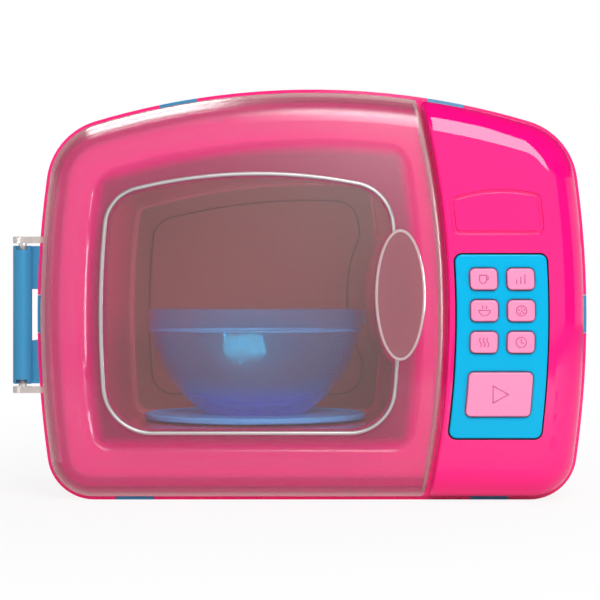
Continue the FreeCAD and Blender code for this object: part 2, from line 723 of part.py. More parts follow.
def fascia_holes():
    shapes = []
    for x, height, _ in liner_boss_places():
        hole = SCREW_RADIUS + SCREW_HOLE_CLEARANCE
        skin = FASCIA_FRONT + LINER_SCREW_SKIN
        shapes.append(rod(x, height, hole, skin, BEYOND + LINER_BOSS_HEIGHT))
    for x, height in keypad_screw_places():
        hole = SMALL_SCREW_RADIUS + SCREW_HOLE_CLEARANCE
        shapes.append(rod(x, height, hole, PANEL_INSIDE - SMALL_SCREW_BITE, KEYPAD_LIP_BACK + BEYOND))
    half = CLIP_HOOK_WIDTH / 2 + CLIP_CLEARANCE
    hook = (CLIP_HOOK_START - CLIP_CLEARANCE, CLIP_HOOK_START + CLIP_HOOK_DEPTH + CLIP_CLEARANCE)
    deep = BODY_WALL + FLANGE_CLEARANCE + FASCIA_FLANGE_WALL
    for _, x, z, tilt in clip_places():
        shapes.append(at_place(box((-half, half), hook, (-deep - OVERLAP, 0)), x, z, tilt))
    half = CATCH_TAB_WIDTH / 2 + CATCH_SLOT_CLEARANCE
    heights = (CATCH_LOW - CATCH_SLOT_CLEARANCE, CATCH_HIGH + CATCH_SLOT_CLEARANCE)
    shapes.append(box((CATCH_X - half, CATCH_X + half), (-BEYOND, BEYOND), heights))
    return shapes


def snap_clip(x, z, tilt):
    """A plug that fills its notch in the rim and hooks into the fascia's flange."""
    half = CLIP_WIDTH / 2
    plug = at_place(box((-half, half), (0, CLIP_DEPTH), (-BODY_WALL, BEYOND)), x, z, tilt)
    plug = plug.common(BODY.prism(0, CLIP_DEPTH))
    half = CLIP_HOOK_WIDTH / 2
    deep = BODY_WALL + FLANGE_CLEARANCE + FASCIA_FLANGE_WALL + CLIP_HOOK_OVER
    depth = (CLIP_HOOK_START, CLIP_HOOK_START + CLIP_HOOK_DEPTH)
    hook = at_place(box((-half, half), depth, (-deep, -BODY_WALL / 2)), x, z, tilt)
    return plug.fuse(hook).removeSplitter()


def cavity_liner():
    """The oven box: a sleeve behind the fascia's opening with a rim at the back and a hub well."""
    sleeve = cavity_space(LINER, 0, BACK_PANEL_FRONT, LINER_WALL)
    inside = LINER.pillow(-BEYOND, CAVITY_DEPTH, LINER_BACK_RADIUS)
    inside = inside.cut(catch_bump(-BEYOND, CAVITY_DEPTH))
    window = LINER.prism(-BEYOND, BODY_DEPTH, -LINER_RIM).cut(catch_bump(-BEYOND, BODY_DEPTH))
    liner = sleeve.cut(inside).cut(window)
    well = post(TURNTABLE_X, TURNTABLE_Y, WELL_RADIUS + WELL_WALL, WELL_FLOOR - WELL_WALL, CAVITY_FLOOR)
    liner = liner.fuse(well)
    liner = liner.cut(post(TURNTABLE_X, TURNTABLE_Y, WELL_RADIUS, WELL_FLOOR, CAVITY_FLOOR + BEYOND))
    seat = SPINDLE_RADIUS + SPINDLE_SEAT_CLEARANCE
    liner = liner.cut(post(TURNTABLE_X, TURNTABLE_Y, seat, 0, CAVITY_FLOOR))
    across = (-LINER_BOSS_RADIUS, LINER_BOSS_RADIUS)
    front = (LINER_BOSS_HEIGHT, LINER_BOSS_HEIGHT + LINER_EAR)
    back = (BACK_PANEL_FRONT - REAR_BOSS_LENGTH, BACK_PANEL_FRONT)
    for x, height, tilt in liner_boss_places():
        for depth in (front, back):
            ear = at_place(box(across, depth, (LINER_WALL / 2 - LINER_BOSS_OUT, 0)), x, height, tilt)
            liner = liner.fuse(ear).fuse(rod(x, height, LINER_BOSS_RADIUS, *depth))
        liner = liner.cut(rod(x, height, SCREW_RADIUS + SCREW_PASS_CLEARANCE, 0, front[1]))
        bite = BACK_PANEL_FRONT - REAR_SCREW_BITE
        liner = liner.cut(rod(x, height, SCREW_RADIUS + SCREW_HOLE_CLEARANCE, bite, BODY_DEPTH))
    return liner.removeSplitter()


def cavity_back_panel():
    """The plate that closes the liner, with a raised pad and four screw ears."""
    panel = cavity_space(LINER, BACK_PANEL_FRONT, BACK_PANEL_BACK, LINER_WALL)
    pad = cavity_space(BACK_PAD, BACK_PANEL_FRONT - BACK_PAD_HEIGHT, BACK_PANEL_FRONT, -PAD_EDGE)
    panel = panel.fuse(pad)
    across = (-LINER_BOSS_RADIUS, LINER_BOSS_RADIUS)
    depth = (BACK_PANEL_FRONT, BACK_PANEL_BACK)
    for x, height, tilt in liner_boss_places():
        panel = panel.fuse(at_place(box(across, depth, (-LINER_BOSS_OUT, 0)), x, height, tilt))
        panel = panel.fuse(rod(x, height, LINER_BOSS_RADIUS, *depth))
        panel = panel.cut(rod(x, height, SCREW_RADIUS + SCREW_PASS_CLEARANCE, 0, BODY_DEPTH))
    return panel.removeSplitter()


def door():
    """The see-through door: a shallow tray with a stepped-back pane, hinge lugs and a catch tab."""
    shape = BODY.pillow(DOOR_BACK, DOOR_FRONT, FRONT_EDGE_RADIUS, -FRONT_STEP)
    shape = shape.common(bow_cylinder(DOOR_EDGE_BOW))
    shape = rounded(shape, DOOR_EDGE_RADIUS, lambda edge: on_bow(edge, DOOR_EDGE_BOW, DOOR_BACK))
    shape = shape.cut(RECESS.prism(DOOR_FRONT - BEYOND, PANE_FRONT))
    shape = rounded(shape, RECESS_LIP_RADIUS, lambda edge: on_recess(edge, DOOR_FRONT))
    hollow = BODY.pillow(
        DOOR_BACK + BEYOND, DOOR_FRONT + DOOR_WALL, FRONT_EDGE_RADIUS - DOOR_WALL, -FRONT_STEP - DOOR_WALL
    ).common(bow_cylinder(DOOR_EDGE_BOW - DOOR_WALL))
    hollow = hollow.cut(RECESS.prism(DOOR_FRONT - BEYOND, PANE_BACK, DOOR_WALL))
    shape = shape.cut(hollow)
    groove_back = PANE_FRONT + TRIM_GROOVE
    wide = TRIM_WIDTH / 2 + TRIM_CLEARANCE
    groove = CAVITY.ring(PANE_FRONT - BEYOND, groove_back, TRIM_OFFSET + wide, TRIM_OFFSET - wide)
    shape = shape.cut(groove.cut(pull_neck(TRIM_CLEARANCE, PANE_FRONT - BEYOND, groove_back)))
    for side in (-1, 1):
        pin = PULL_PIN_RADIUS + PULL_PIN_CLEARANCE
        shape = shape.cut(rod(PULL_X, PULL_HEIGHT + side * PULL_PIN_SPREAD, pin, PANE_FRONT - BEYOND, 0))
    half = CATCH_TAB_WIDTH / 2
    tab_depth = (PANE_FRONT + DOOR_WALL / 2, CATCH_TAB_REACH)
    tab = box((CATCH_X - half, CATCH_X + half), tab_depth, (CATCH_LOW, CATCH_HIGH))
    shape = shape.fuse(tab)
    for upward in (-1, 1):
        shape = shape.fuse(hinge_lug(upward))
    return shape.removeSplitter()


def on_recess(edge, y):
    """True for the edges of the door's recess at a depth, where its lip is rounded."""
    if not in_plane(edge, y):
        return False
    grown = RECESS.prism(y - OVERLAP, y + OVERLAP, RECESS_LIP_RADIUS)
    return all(grown.isInside(vertex.Point, SLACK, True) for vertex in edge.Vertexes)


def pull_neck(grow, front, back):
    half_width = PULL_HALF_WIDTH - PULL_NECK_INSET + grow
    half_height = PULL_HALF_HEIGHT - PULL_NECK_INSET + grow
    return oval(half_width, half_height, front, back)


def hinge_lug(upward):
    """A lug on the door's left wall with a pin that turns in one end of the barrel."""
    end = BARREL_HIGH if upward > 0 else BARREL_LOW
    near = end + upward * LUG_GAP
    far = near + upward * LUG_THICKNESS
    low, high = sorted((near, far))
    wall = -bow_at(SIDE_BOW_RADIUS - FRONT_STEP - DOOR_WALL / 2, near)
    arm = box((HINGE_X, wall), (HINGE_Y - BARREL_RADIUS, DOOR_BACK - DOOR_BACK_GAP), (low, high))
    eye = post(HINGE_X, HINGE_Y, BARREL_RADIUS, low, high)
    tip = end - upward * HINGE_PIN_LENGTH
    pin_low, pin_high = sorted((tip, near))
    return arm.fuse(eye).fuse(post(HINGE_X, HINGE_Y, HINGE_PIN_RADIUS, pin_low, pin_high))


def window_trim():
    """The bead round the window, seated in a groove and stopped at the neck of the pull."""
    front = PANE_FRONT - TRIM_HEIGHT
    half = TRIM_WIDTH / 2
    bead = CAVITY.ring(front, PANE_FRONT + TRIM_GROOVE, TRIM_OFFSET + half, TRIM_OFFSET - half)
    bead = rounded(bead, TRIM_EDGE_RADIUS, lambda edge: in_plane(edge, front))
    return bead.cut(pull_neck(TRIM_END_CLEARANCE, front - BEYOND, PANE_FRONT + BEYOND))


def door_pull():
    """The oval grip: a dished plate on a narrower neck, with two pins through the pane."""
    plate_back = PANE_FRONT - PULL_NECK_HEIGHT
    plate_front = plate_back - PULL_PLATE
    plate = oval(PULL_HALF_WIDTH, PULL_HALF_HEIGHT, plate_front, plate_back)
    plate = rounded(plate, PULL_EDGE_RADIUS, lambda edge: in_plane(edge, plate_front))
    dish_width = PULL_HALF_WIDTH - PULL_RIM
    dish_height = PULL_HALF_HEIGHT - PULL_RIM
    dish = oval(dish_width, dish_height, plate_front - BEYOND, plate_front + PULL_DISH)
    pull = plate.cut(dish).fuse(pull_neck(0, plate_back, PANE_FRONT))
    for side in (-1, 1):
        height = PULL_HEIGHT + side * PULL_PIN_SPREAD
        pull = pull.fuse(rod(PULL_X, height, PULL_PIN_RADIUS, PANE_FRONT - OVERLAP, PANE_BACK))
    return pull.removeSplitter()


def hinge_bracket():
    """The barrel that the door's pins turn in, on two feet screwed to the side of the body."""
    barrel = post(HINGE_X, HINGE_Y, BARREL_RADIUS, BARREL_LOW, BARREL_HIGH)
    barrel = rounded(barrel, BARREL_EDGE_RADIUS, lambda edge: isinstance(edge.Curve, Part.Circle))
    slot = HINGE_SLOT_LENGTH / 2
    for low, high in ((BARREL_LOW, HINGE_HEIGHT - slot), (HINGE_HEIGHT + slot, BARREL_HIGH)):
        web_depth = (HINGE_WEB_FRONT, HINGE_WEB_FRONT + HINGE_FOOT_THICKNESS)
        web = box((HINGE_X, BEYOND - HALF), web_depth, (low, high))
        across = (-HALF - HINGE_FOOT_THICKNESS, BEYOND - HALF)
        foot = box(across, (HINGE_WEB_FRONT, HINGE_FOOT_BACK), (low, high))
        barrel = barrel.fuse(web).fuse(foot)
    barrel = barrel.cut(BODY.prism(-BEYOND, BODY_DEPTH, HINGE_FOOT_CLEARANCE))
    bore = HINGE_PIN_RADIUS + HINGE_PIN_CLEARANCE
    deep = HINGE_PIN_LENGTH + LUG_GAP
    half = BARREL_NOTCH_WIDTH / 2
    for end, inner in ((BARREL_LOW, BARREL_LOW + deep), (BARREL_HIGH, BARREL_HIGH - deep)):
        barrel = barrel.cut(post(HINGE_X, HINGE_Y, bore, *sorted((end, inner))))
        notch_end = end + math.copysign(BARREL_NOTCH_DEPTH, inner - end)
        across = (HINGE_X - half, HINGE_X + half)
        barrel = barrel.cut(box(across, (HINGE_Y - BEYOND, HINGE_Y), sorted((end, notch_end))))
    for height in hinge_screw_heights():
        hole = Part.makeCylinder(
            SCREW_RADIUS + SCREW_HOLE_CLEARANCE, HINGE_SCREW_BITE + BEYOND,
            Vector(-HALF - HINGE_SCREW_BITE, HINGE_SCREW_Y, height), Vector(1, 0, 0),
        )
        barrel = barrel.cut(hole)
    return barrel.removeSplitter()


def hinge_screws():
    """Two screws from inside the body into the feet of the hinge bracket."""
    shapes = []
    for height in hinge_screw_heights():
        reach = abs(height - SIDE_BOW_HEIGHT) + SCREW_HEAD_RADIUS
        head_x = -bow_at(SIDE_BOW_RADIUS - BODY_WALL, SIDE_BOW_HEIGHT + reach)
        tip_x = -HALF - HINGE_SCREW_BITE
        one = screw(SCREW_RADIUS, head_x - tip_x, SCREW_HEAD_RADIUS, SCREW_HEAD)
        one.rotate(Vector(0, 0, 0), Vector(0, 0, 1), -90)
        shapes.append(placed(one, head_x, HINGE_SCREW_Y, height))
    return Part.makeCompound(shapes)


def catch_peg(side, radius, front, back):
    height = PULL_HEIGHT + side * (CATCH_TAB_HEIGHT / 2 + CATCH_FOOT / 2 + CATCH_SLOT_CLEARANCE)
    return rod(CATCH_X, height, radius, front, back)


def catch_spring():
    """A clip behind the fascia whose two leaves grip the door's tab."""
    inner = CATCH_TAB_WIDTH / 2 + CATCH_LEAF_GAP
    outer = inner + CATCH_LEAF
    reach = CATCH_TAB_HEIGHT / 2 + CATCH_SLOT_CLEARANCE + CATCH_FOOT
    heights = (PULL_HEIGHT - reach, PULL_HEIGHT + reach)
    foot = box((CATCH_X - outer, CATCH_X + outer), (0, CATCH_FOOT_WALL), heights)
    foot = foot.cut(box((CATCH_X - inner, CATCH_X + inner), (0, CATCH_FOOT_WALL),
                        (CATCH_LOW - CATCH_SLOT_CLEARANCE, CATCH_HIGH + CATCH_SLOT_CLEARANCE)))
    hole = CATCH_PEG_RADIUS + CATCH_PEG_CLEARANCE
    for side in (-1, 1):
        foot = foot.cut(catch_peg(side, hole, -OVERLAP, CATCH_FOOT_WALL + OVERLAP))
        across = sorted((CATCH_X + side * inner, CATCH_X + side * outer))
        foot = foot.fuse(box(across, (0, CATCH_LEAF_LENGTH), (CATCH_LOW, CATCH_HIGH)))
    return foot.removeSplitter()


def keypad_panel():
    """The blue panel: a shallow cover that comes through the fascia from behind, with key holes."""
    cover = KEYPAD.prism(KEYPAD_FACE, PANEL_INSIDE)
    cover = rounded(cover, KEYPAD_EDGE_RADIUS, lambda edge: in_plane(edge, KEYPAD_FACE))
    panel = cover.fuse(KEYPAD_LIP.prism(PANEL_INSIDE, KEYPAD_LIP_BACK))
    panel = panel.cut(KEYPAD.prism(KEY_SEAT, KEYPAD_LIP_BACK + BEYOND, -KEYPAD_SIDE_WALL))
    for _, outline, _, _, _ in key_fields():
        panel = panel.cut(outline.prism(KEYPAD_FACE - BEYOND, KEY_SEAT + OVERLAP, KEY_GAP))
    boss = KEYPAD_BOSS_RADIUS + KEYPAD_BOSS_CLEARANCE
    for x, height in keypad_screw_places():
        panel = panel.cut(rod(x, height, boss, PANEL_INSIDE - OVERLAP, KEYPAD_LIP_BACK + OVERLAP))
    return panel.removeSplitter()


def press_key(outline, x, height):
    """A key cap that comes through the keypad, with a flange behind it and a stem to its spring."""
    cap_front = KEYPAD_FACE - KEY_PROUD
    flange_front = KEY_SEAT + KEY_SEAT_GAP
    cap = outline.prism(cap_front, flange_front)
    cap = rounded(cap, KEY_EDGE_RADIUS, lambda edge: in_plane(edge, cap_front))
    key = cap.fuse(outline.prism(flange_front, KEY_FLANGE_BACK, KEY_FLANGE))
    stem = rod(x, height, KEY_STEM_RADIUS, KEY_FLANGE_BACK - OVERLAP, KEYPAD_LIP_BACK)
    return key.fuse(stem).removeSplitter()


def key_spring_plate():
    """A springy plate screwed behind the keypad, with one tongue cut free under every key."""
    plate = KEYPAD_LIP.prism(KEYPAD_LIP_BACK, SPRING_PLATE_BACK, -SPRING_PLATE_MARGIN)
    through = (KEYPAD_LIP_BACK - OVERLAP, SPRING_PLATE_BACK + OVERLAP)
    for _, _, x, height, width in key_fields():
        across = (x - width / 2 + TONGUE_END_MARGIN, x + width / 2 - TONGUE_END_MARGIN)
        for side in (-1, 1):
            near = height + side * TONGUE_HALF_WIDTH
            far = near + side * TONGUE_SLOT
            plate = plate.cut(box(across, through, sorted((near, far))))
        end = (across[0], across[0] + TONGUE_SLOT)
        plate = plate.cut(box(end, through, (height - TONGUE_HALF_WIDTH, height + TONGUE_HALF_WIDTH)))
    for x, height in keypad_screw_places():
        plate = plate.cut(rod(x, height, SMALL_SCREW_RADIUS + SCREW_PASS_CLEARANCE, *through))
    return plate.removeSplitter()


def keypad_screws():
    length = SPRING_PLATE_BACK - PANEL_INSIDE + SMALL_SCREW_BITE
    one = screw(SMALL_SCREW_RADIUS, length, SMALL_HEAD_RADIUS, SMALL_HEAD)
    shapes = [placed(one, x, SPRING_PLATE_BACK, z) for x, z in keypad_screw_places()]
    return Part.makeCompound(shapes)


def liner_screws():
    head_y = LINER_BOSS_HEIGHT + LINER_EAR
    one = screw(SCREW_RADIUS, head_y - FASCIA_FRONT - LINER_SCREW_SKIN, SCREW_HEAD_RADIUS, SCREW_HEAD)
    return Part.makeCompound([placed(one, x, head_y, z) for x, z, _ in liner_boss_places()])


def rear_screws():
    head_y = BODY_DEPTH - REAR_HEAD_RECESS
    length = head_y - BACK_PANEL_FRONT + REAR_SCREW_BITE
    one = screw(SCREW_RADIUS, length, SCREW_HEAD_RADIUS, SCREW_HEAD)
    return Part.makeCompound([placed(one, x, head_y, z) for x, z, _ in liner_boss_places()])


def turntable_spindle():
    """A headed pin pushed up through the floor of the well."""
    under = WELL_FLOOR - WELL_WALL
    top = TURNTABLE_TOP - HUB_TOP_SKIN - SPINDLE_TOP_GAP
    head = post(TURNTABLE_X, TURNTABLE_Y, SPINDLE_HEAD_RADIUS, under - SPINDLE_HEAD, under)
    return head.fuse(post(TURNTABLE_X, TURNTABLE_Y, SPINDLE_RADIUS, under, top)).removeSplitter()


def turned(points, y):
    """Spins a profile of (radius, height) points and arcs about the turntable's axis."""
    edges = []
    for i, (start, bulge) in enumerate(points):
        end = points[(i + 1) % len(points)][0]
        a = Vector(start[0], 0, start[1])
        b = Vector(end[0], 0, end[1])
        if bulge:
            chord = b - a
            across = Vector(chord.z, 0, -chord.x)
            edges.append(Part.Arc(a, (a + b) * 0.5 + across * (bulge / across.Length), b).toShape())
        elif (b - a).Length > 0:
            edges.append(Part.makeLine(a, b))
    solid = Part.Face(Part.Wire(edges)).revolve(Vector(0, 0, 0), Vector(0, 0, 1), 360)
    solid.translate(Vector(TURNTABLE_X, y, 0))
    return solid


def turntable():
    """A plate with a raised edge bead, on a hub that turns round the spindle."""
    bore = SPINDLE_RADIUS + SPINDLE_CLEARANCE
    bead = TURNTABLE_RADIUS - TURNTABLE_BEAD_WIDTH
    dish = TURNTABLE_TOP - TURNTABLE_DISH
    skin = TURNTABLE_TOP - HUB_TOP_SKIN
    plate = turned([
        ((0, skin), 0), ((bore, skin), 0), ((bore, HUB_LOW), 0), ((HUB_RADIUS, HUB_LOW), 0),
        ((HUB_RADIUS, TURNTABLE_LOW), 0), ((TURNTABLE_RADIUS, TURNTABLE_LOW), 0),
        ((TURNTABLE_RADIUS, TURNTABLE_TOP), 0), ((bead, TURNTABLE_TOP), 0),
        ((bead - TURNTABLE_DISH, dish), 0), ((0, dish), 0),
    ], TURNTABLE_Y)
    return rounded(plate, TURNTABLE_EDGE_RADIUS, on_turntable_edge)


def on_turntable_edge(edge):
    """True for the two outer circles of the turntable."""
    if not isinstance(edge.Curve, Part.Circle):
        return False
    return abs(edge.Curve.Radius - TURNTABLE_RADIUS) < SLACK


def bowl():
    """A deep bowl with a banded rim, a thick base and a small pouring lip."""
    rim = BOWL_RIM_RADIUS
    neck = rim - BOWL_BAND_STEP
    band_low = BOWL_HEIGHT - BOWL_BAND_HEIGHT
    inner_base = BOWL_BASE_RADIUS - BOWL_WALL / 2
    solid = turned([
        ((0, 0), 0), ((BOWL_BASE_RADIUS, 0), BOWL_BULGE), ((neck, band_low), 0), ((rim, band_low), 0),
        ((rim, BOWL_HEIGHT), 0), ((neck - BOWL_WALL, BOWL_HEIGHT), 0),
        ((neck - BOWL_WALL, band_low), -BOWL_BULGE), ((inner_base, BOWL_BASE), 0), ((0, BOWL_BASE), 0),
    ], TURNTABLE_Y)
    solid = rounded(solid, BOWL_EDGE_RADIUS, lambda edge: is_rim_circle(edge, BOWL_HEIGHT))
    half = BOWL_LIP_WIDTH / 2
    reach = TURNTABLE_X + rim + BOWL_LIP_REACH
    heights = (BOWL_HEIGHT - BOWL_LIP_HEIGHT, BOWL_HEIGHT - BOWL_EDGE_RADIUS)
    lip = box((TURNTABLE_X + neck, reach), (TURNTABLE_Y - half, TURNTABLE_Y + half), heights)
    lip = rounded(lip, BOWL_LIP_RADIUS, lambda edge: edge.BoundBox.XMin > reach - SLACK and
                  edge.BoundBox.ZLength > BOWL_LIP_HEIGHT / 2)
    solid = solid.fuse(lip)
    solid.translate(Vector(0, 0, BOWL_LOW))
    return solid.removeSplitter()


def is_rim_circle(edge, height):
    return isinstance(edge.Curve, Part.Circle) and abs(edge.Curve.Center.z - height) < SLACK


def pieces():
    made = {
        "body_shell": body_shell(),
        "front_fascia": front_fascia(),
        "cavity_liner": cavity_liner(),
        "cavity_back_panel": cavity_back_panel(),
        "hinge_bracket": hinge_bracket(),
        "hinge_screws": hinge_screws(),
        "catch_spring": catch_spring(),
        "keypad_panel": keypad_panel(),
        "key_spring_plate": key_spring_plate(),
        "keypad_screws": keypad_screws(),
        "liner_screws": liner_screws(),
        "rear_screws": rear_screws(),
        "turntable_spindle": turntable_spindle(),
        "turntable": turntable(),
        "bowl": bowl(),
        "door": door(),
        "window_trim": window_trim(),
        "door_pull": door_pull(),
    }
    for name, x, z, tilt in clip_places():
        made[name] = snap_clip(x, z, tilt)
    for name, outline, x, height, _ in key_fields():
        made[name] = press_key(outline, x, height)
    return made


def main():
    os.makedirs("parts", exist_ok=True)
    for name, shape in pieces().items():
        shape.translate(Vector(0, -BODY_DEPTH / 2, 0))
        shape.exportStep(f"parts/{name}.step")
        solids = shape.Solids
        print(name, len(solids), "solid(s)", round(shape.Volume / 1000, 2), "cm3", shape.isValid())


main()
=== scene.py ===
# %% [markdown]
# # A toy microwave oven, dressed for its picture
# The solids of the oven are made and packed already. This lesson loads them as a fixed frame and
# gives them their looks: glossy moulded plastics, a smoky door, key marks, studio light and a
# camera. The frame is loaded first, because every later step asks it where a piece is.

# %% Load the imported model
import json
import math

import bmesh
import bpy
from mathutils import Matrix, Vector


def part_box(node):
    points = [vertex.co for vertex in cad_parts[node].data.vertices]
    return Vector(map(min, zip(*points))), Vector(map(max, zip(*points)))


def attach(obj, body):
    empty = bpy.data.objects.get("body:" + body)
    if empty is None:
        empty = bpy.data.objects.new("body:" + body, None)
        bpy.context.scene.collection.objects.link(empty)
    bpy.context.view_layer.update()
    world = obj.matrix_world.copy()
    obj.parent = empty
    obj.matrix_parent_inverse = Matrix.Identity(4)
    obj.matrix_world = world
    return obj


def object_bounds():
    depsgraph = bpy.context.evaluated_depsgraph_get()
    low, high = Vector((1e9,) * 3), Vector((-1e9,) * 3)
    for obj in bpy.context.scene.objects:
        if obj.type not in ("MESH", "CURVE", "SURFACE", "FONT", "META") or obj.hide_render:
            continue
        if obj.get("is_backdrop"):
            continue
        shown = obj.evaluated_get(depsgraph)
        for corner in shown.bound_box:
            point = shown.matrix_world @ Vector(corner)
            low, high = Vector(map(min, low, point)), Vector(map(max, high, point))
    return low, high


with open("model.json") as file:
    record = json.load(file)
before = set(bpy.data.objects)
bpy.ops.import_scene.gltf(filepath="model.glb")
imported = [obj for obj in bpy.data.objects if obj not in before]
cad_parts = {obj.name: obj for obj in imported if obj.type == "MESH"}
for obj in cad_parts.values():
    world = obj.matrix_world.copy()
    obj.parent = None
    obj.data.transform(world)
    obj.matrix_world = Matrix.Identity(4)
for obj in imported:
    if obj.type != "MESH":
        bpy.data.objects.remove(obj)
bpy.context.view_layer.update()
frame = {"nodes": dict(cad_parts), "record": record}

scene = bpy.context.scene
scene.view_settings.view_transform = "Standard"

# %% [markdown]
# The picture is taken straight from the front with a long lens. How much smaller the back wall of
# the oven looks than its opening gives the distance, a little under a metre from the rim of the
# body. A camera could also be aimed with a Track To constraint, but a fixed turn of 90 degrees is
# plainer.

# %% Camera
LENS_MM = 115.2
EYE = Vector((-0.006, -1.0365, 0.09975))

camera_data = bpy.data.cameras.new("front_camera")
camera_data.sensor_width = 36.0
camera_data.lens = LENS_MM
camera = bpy.data.objects.new("front_camera", camera_data)
camera.location = EYE
camera.rotation_euler = (math.radians(90), 0, 0)
scene.collection.objects.link(camera)
scene.camera = camera
print("camera:", round(LENS_MM, 1), "mm lens,", round(-EYE.y, 3), "m in front of the middle")

# %% [markdown]
# Node trees repeat the same few moves: make a node, fill some sockets, link others. One small
# helper does all three, which keeps each material below down to the lines that matter, and a second
# one fills colour ramps. Colours are written as they look on a screen and turned into the linear
# values that shaders need.

# %% Node helpers


def tone(red, green, blue):
    """A screen colour as linear RGBA."""
    parts = []
    for value in (red, green, blue):
        value = value / 255
        parts.append(value / 12.92 if value <= 0.04045 else ((value + 0.055) / 1.055) ** 2.4)
    return (*parts, 1.0)


def add_node(tree, kind, inputs=None, **settings):
    """A new node: settings are its own properties, inputs are values or links for its sockets."""
    node = tree.nodes.new(kind)
    for name, value in settings.items():
        setattr(node, name, value)
    for name, value in (inputs or {}).items():
        if isinstance(value, bpy.types.NodeSocket):
            tree.links.new(value, node.inputs[name])
        else:
            node.inputs[name].default_value = value
    return node


def fill_ramp(ramp, stops):
    """Give a colour ramp its stops, each a place from 0 to 1 and an RGBA colour."""
    while len(ramp.color_ramp.elements) < len(stops):
        ramp.color_ramp.elements.new(0.5)
    for stop, (place, colour) in zip(ramp.color_ramp.elements, stops):
        stop.position = place
        stop.color = colour


WHITE = (1.0, 1.0, 1.0, 1.0)
print("pink as a shader sees it:", [round(part, 3) for part in tone(255, 51, 143)[:3]])

# %% [markdown]
# The background is white. A bright world would also flood the object with light, so the world shows
# white only to the camera and to what is seen through clear pieces. Gloss sees a pale wall low
# down, dark overhead and on the right as in a studio, and diffuse light gets a low even level.

# %% World
AMBIENT = 0.30
GLOSS_STOPS = ((0.0, 0.85), (0.57, 0.72), (0.61, 0.05), (1.0, 0.02))
DARK_SIDE = (0.87, -0.5, 0.0)
DARK_START, DARK_END = 0.90, 0.95
DARK_LEVEL = 0.12

world = bpy.data.worlds.new("studio")
world.use_nodes = True
scene.world = world
sky = world.node_tree
sky.nodes.clear()
ray = add_node(sky, "ShaderNodeLightPath")
seen = add_node(sky, "ShaderNodeMath", {
    0: ray.outputs["Is Camera Ray"], 1: ray.outputs["Is Transmission Ray"],
}, operation="MAXIMUM")
direction = add_node(sky, "ShaderNodeTexCoord").outputs["Generated"]
axes = add_node(sky, "ShaderNodeSeparateXYZ", {0: direction})
rise = add_node(sky, "ShaderNodeMapRange", {
    "Value": axes.outputs["Z"], "From Min": -1.0, "From Max": 1.0,
})
wall = add_node(sky, "ShaderNodeValToRGB", {"Fac": rise.outputs["Result"]})
fill_ramp(wall, [(place, (grey, grey, grey, 1.0)) for place, grey in GLOSS_STOPS])
towards = add_node(sky, "ShaderNodeVectorMath", {
    0: direction, 1: DARK_SIDE,
}, operation="DOT_PRODUCT")
side = add_node(sky, "ShaderNodeMapRange", {
    "Value": towards.outputs["Value"], "From Min": DARK_START, "From Max": DARK_END,
    "To Min": 1.0, "To Max": DARK_LEVEL,
})
studio = add_node(sky, "ShaderNodeMath", {
    0: wall.outputs["Color"], 1: side.outputs["Result"],
}, operation="MULTIPLY")
dim = add_node(sky, "ShaderNodeMix", {
    "Factor": ray.outputs["Is Glossy Ray"], "A": AMBIENT, "B": studio.outputs["Value"],
}, data_type="FLOAT")
level = add_node(sky, "ShaderNodeMix", {
    "Factor": seen.outputs["Value"], "A": dim.outputs["Result"], "B": 1.0,
}, data_type="FLOAT")
glow = add_node(sky, "ShaderNodeBackground", {"Color": WHITE, "Strength": level.outputs["Result"]})
add_node(sky, "ShaderNodeOutputWorld", {"Surface": glow.outputs["Background"]})
print("world: ambient level", AMBIENT)

# %% [markdown]
# The floor is a plain pale sheet. To the camera it is mixed with an even white, more of it further
# out, so it joins the background without a line. Near the oven it stays a lit surface that keeps
# its shadow.

# %% Floor
FLOOR_HALF = 4.0
FLOOR_DROP = 0.0002
WHITE_NEAR, WHITE_FAR = 0.88, 1.0
FADE_START, FADE_END = 0.20, 0.75
FLOOR_GREY = (0.9, 0.9, 0.9, 1.0)

floor_bm = bmesh.new()
bmesh.ops.create_grid(floor_bm, x_segments=1, y_segments=1, size=FLOOR_HALF)
bmesh.ops.translate(floor_bm, verts=floor_bm.verts, vec=(0, 0, -FLOOR_DROP))
floor_mesh = bpy.data.meshes.new("floor")
floor_bm.to_mesh(floor_mesh)
floor_bm.free()
floor = bpy.data.objects.new("floor", floor_mesh)
scene.collection.objects.link(floor)
floor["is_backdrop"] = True
floor_paint = bpy.data.materials.new("pale_floor")
floor_paint.use_nodes = True
tree = floor_paint.node_tree
tree.nodes.clear()
ray = add_node(tree, "ShaderNodeLightPath")
spot = add_node(tree, "ShaderNodeTexCoord").outputs["Object"]
away = add_node(tree, "ShaderNodeVectorMath", {0: spot}, operation="LENGTH")
white_part = add_node(tree, "ShaderNodeMapRange", {
    "Value": away.outputs["Value"], "From Min": FADE_START, "From Max": FADE_END,
    "To Min": WHITE_NEAR, "To Max": WHITE_FAR,
})
share = add_node(tree, "ShaderNodeMath", {
    0: ray.outputs["Is Camera Ray"], 1: white_part.outputs["Result"],
}, operation="MULTIPLY")
lit = add_node(tree, "ShaderNodeBsdfDiffuse", {"Color": FLOOR_GREY})
white = add_node(tree, "ShaderNodeEmission", {"Color": WHITE, "Strength": 1.0})
mixed = add_node(tree, "ShaderNodeMixShader", {
    0: share.outputs["Value"], 1: lit.outputs["BSDF"], 2: white.outputs["Emission"],
})
add_node(tree, "ShaderNodeOutputMaterial", {"Surface": mixed.outputs["Shader"]})
floor_mesh.materials.append(floor_paint)
print("floor:", 2 * FLOOR_HALF, "m wide")

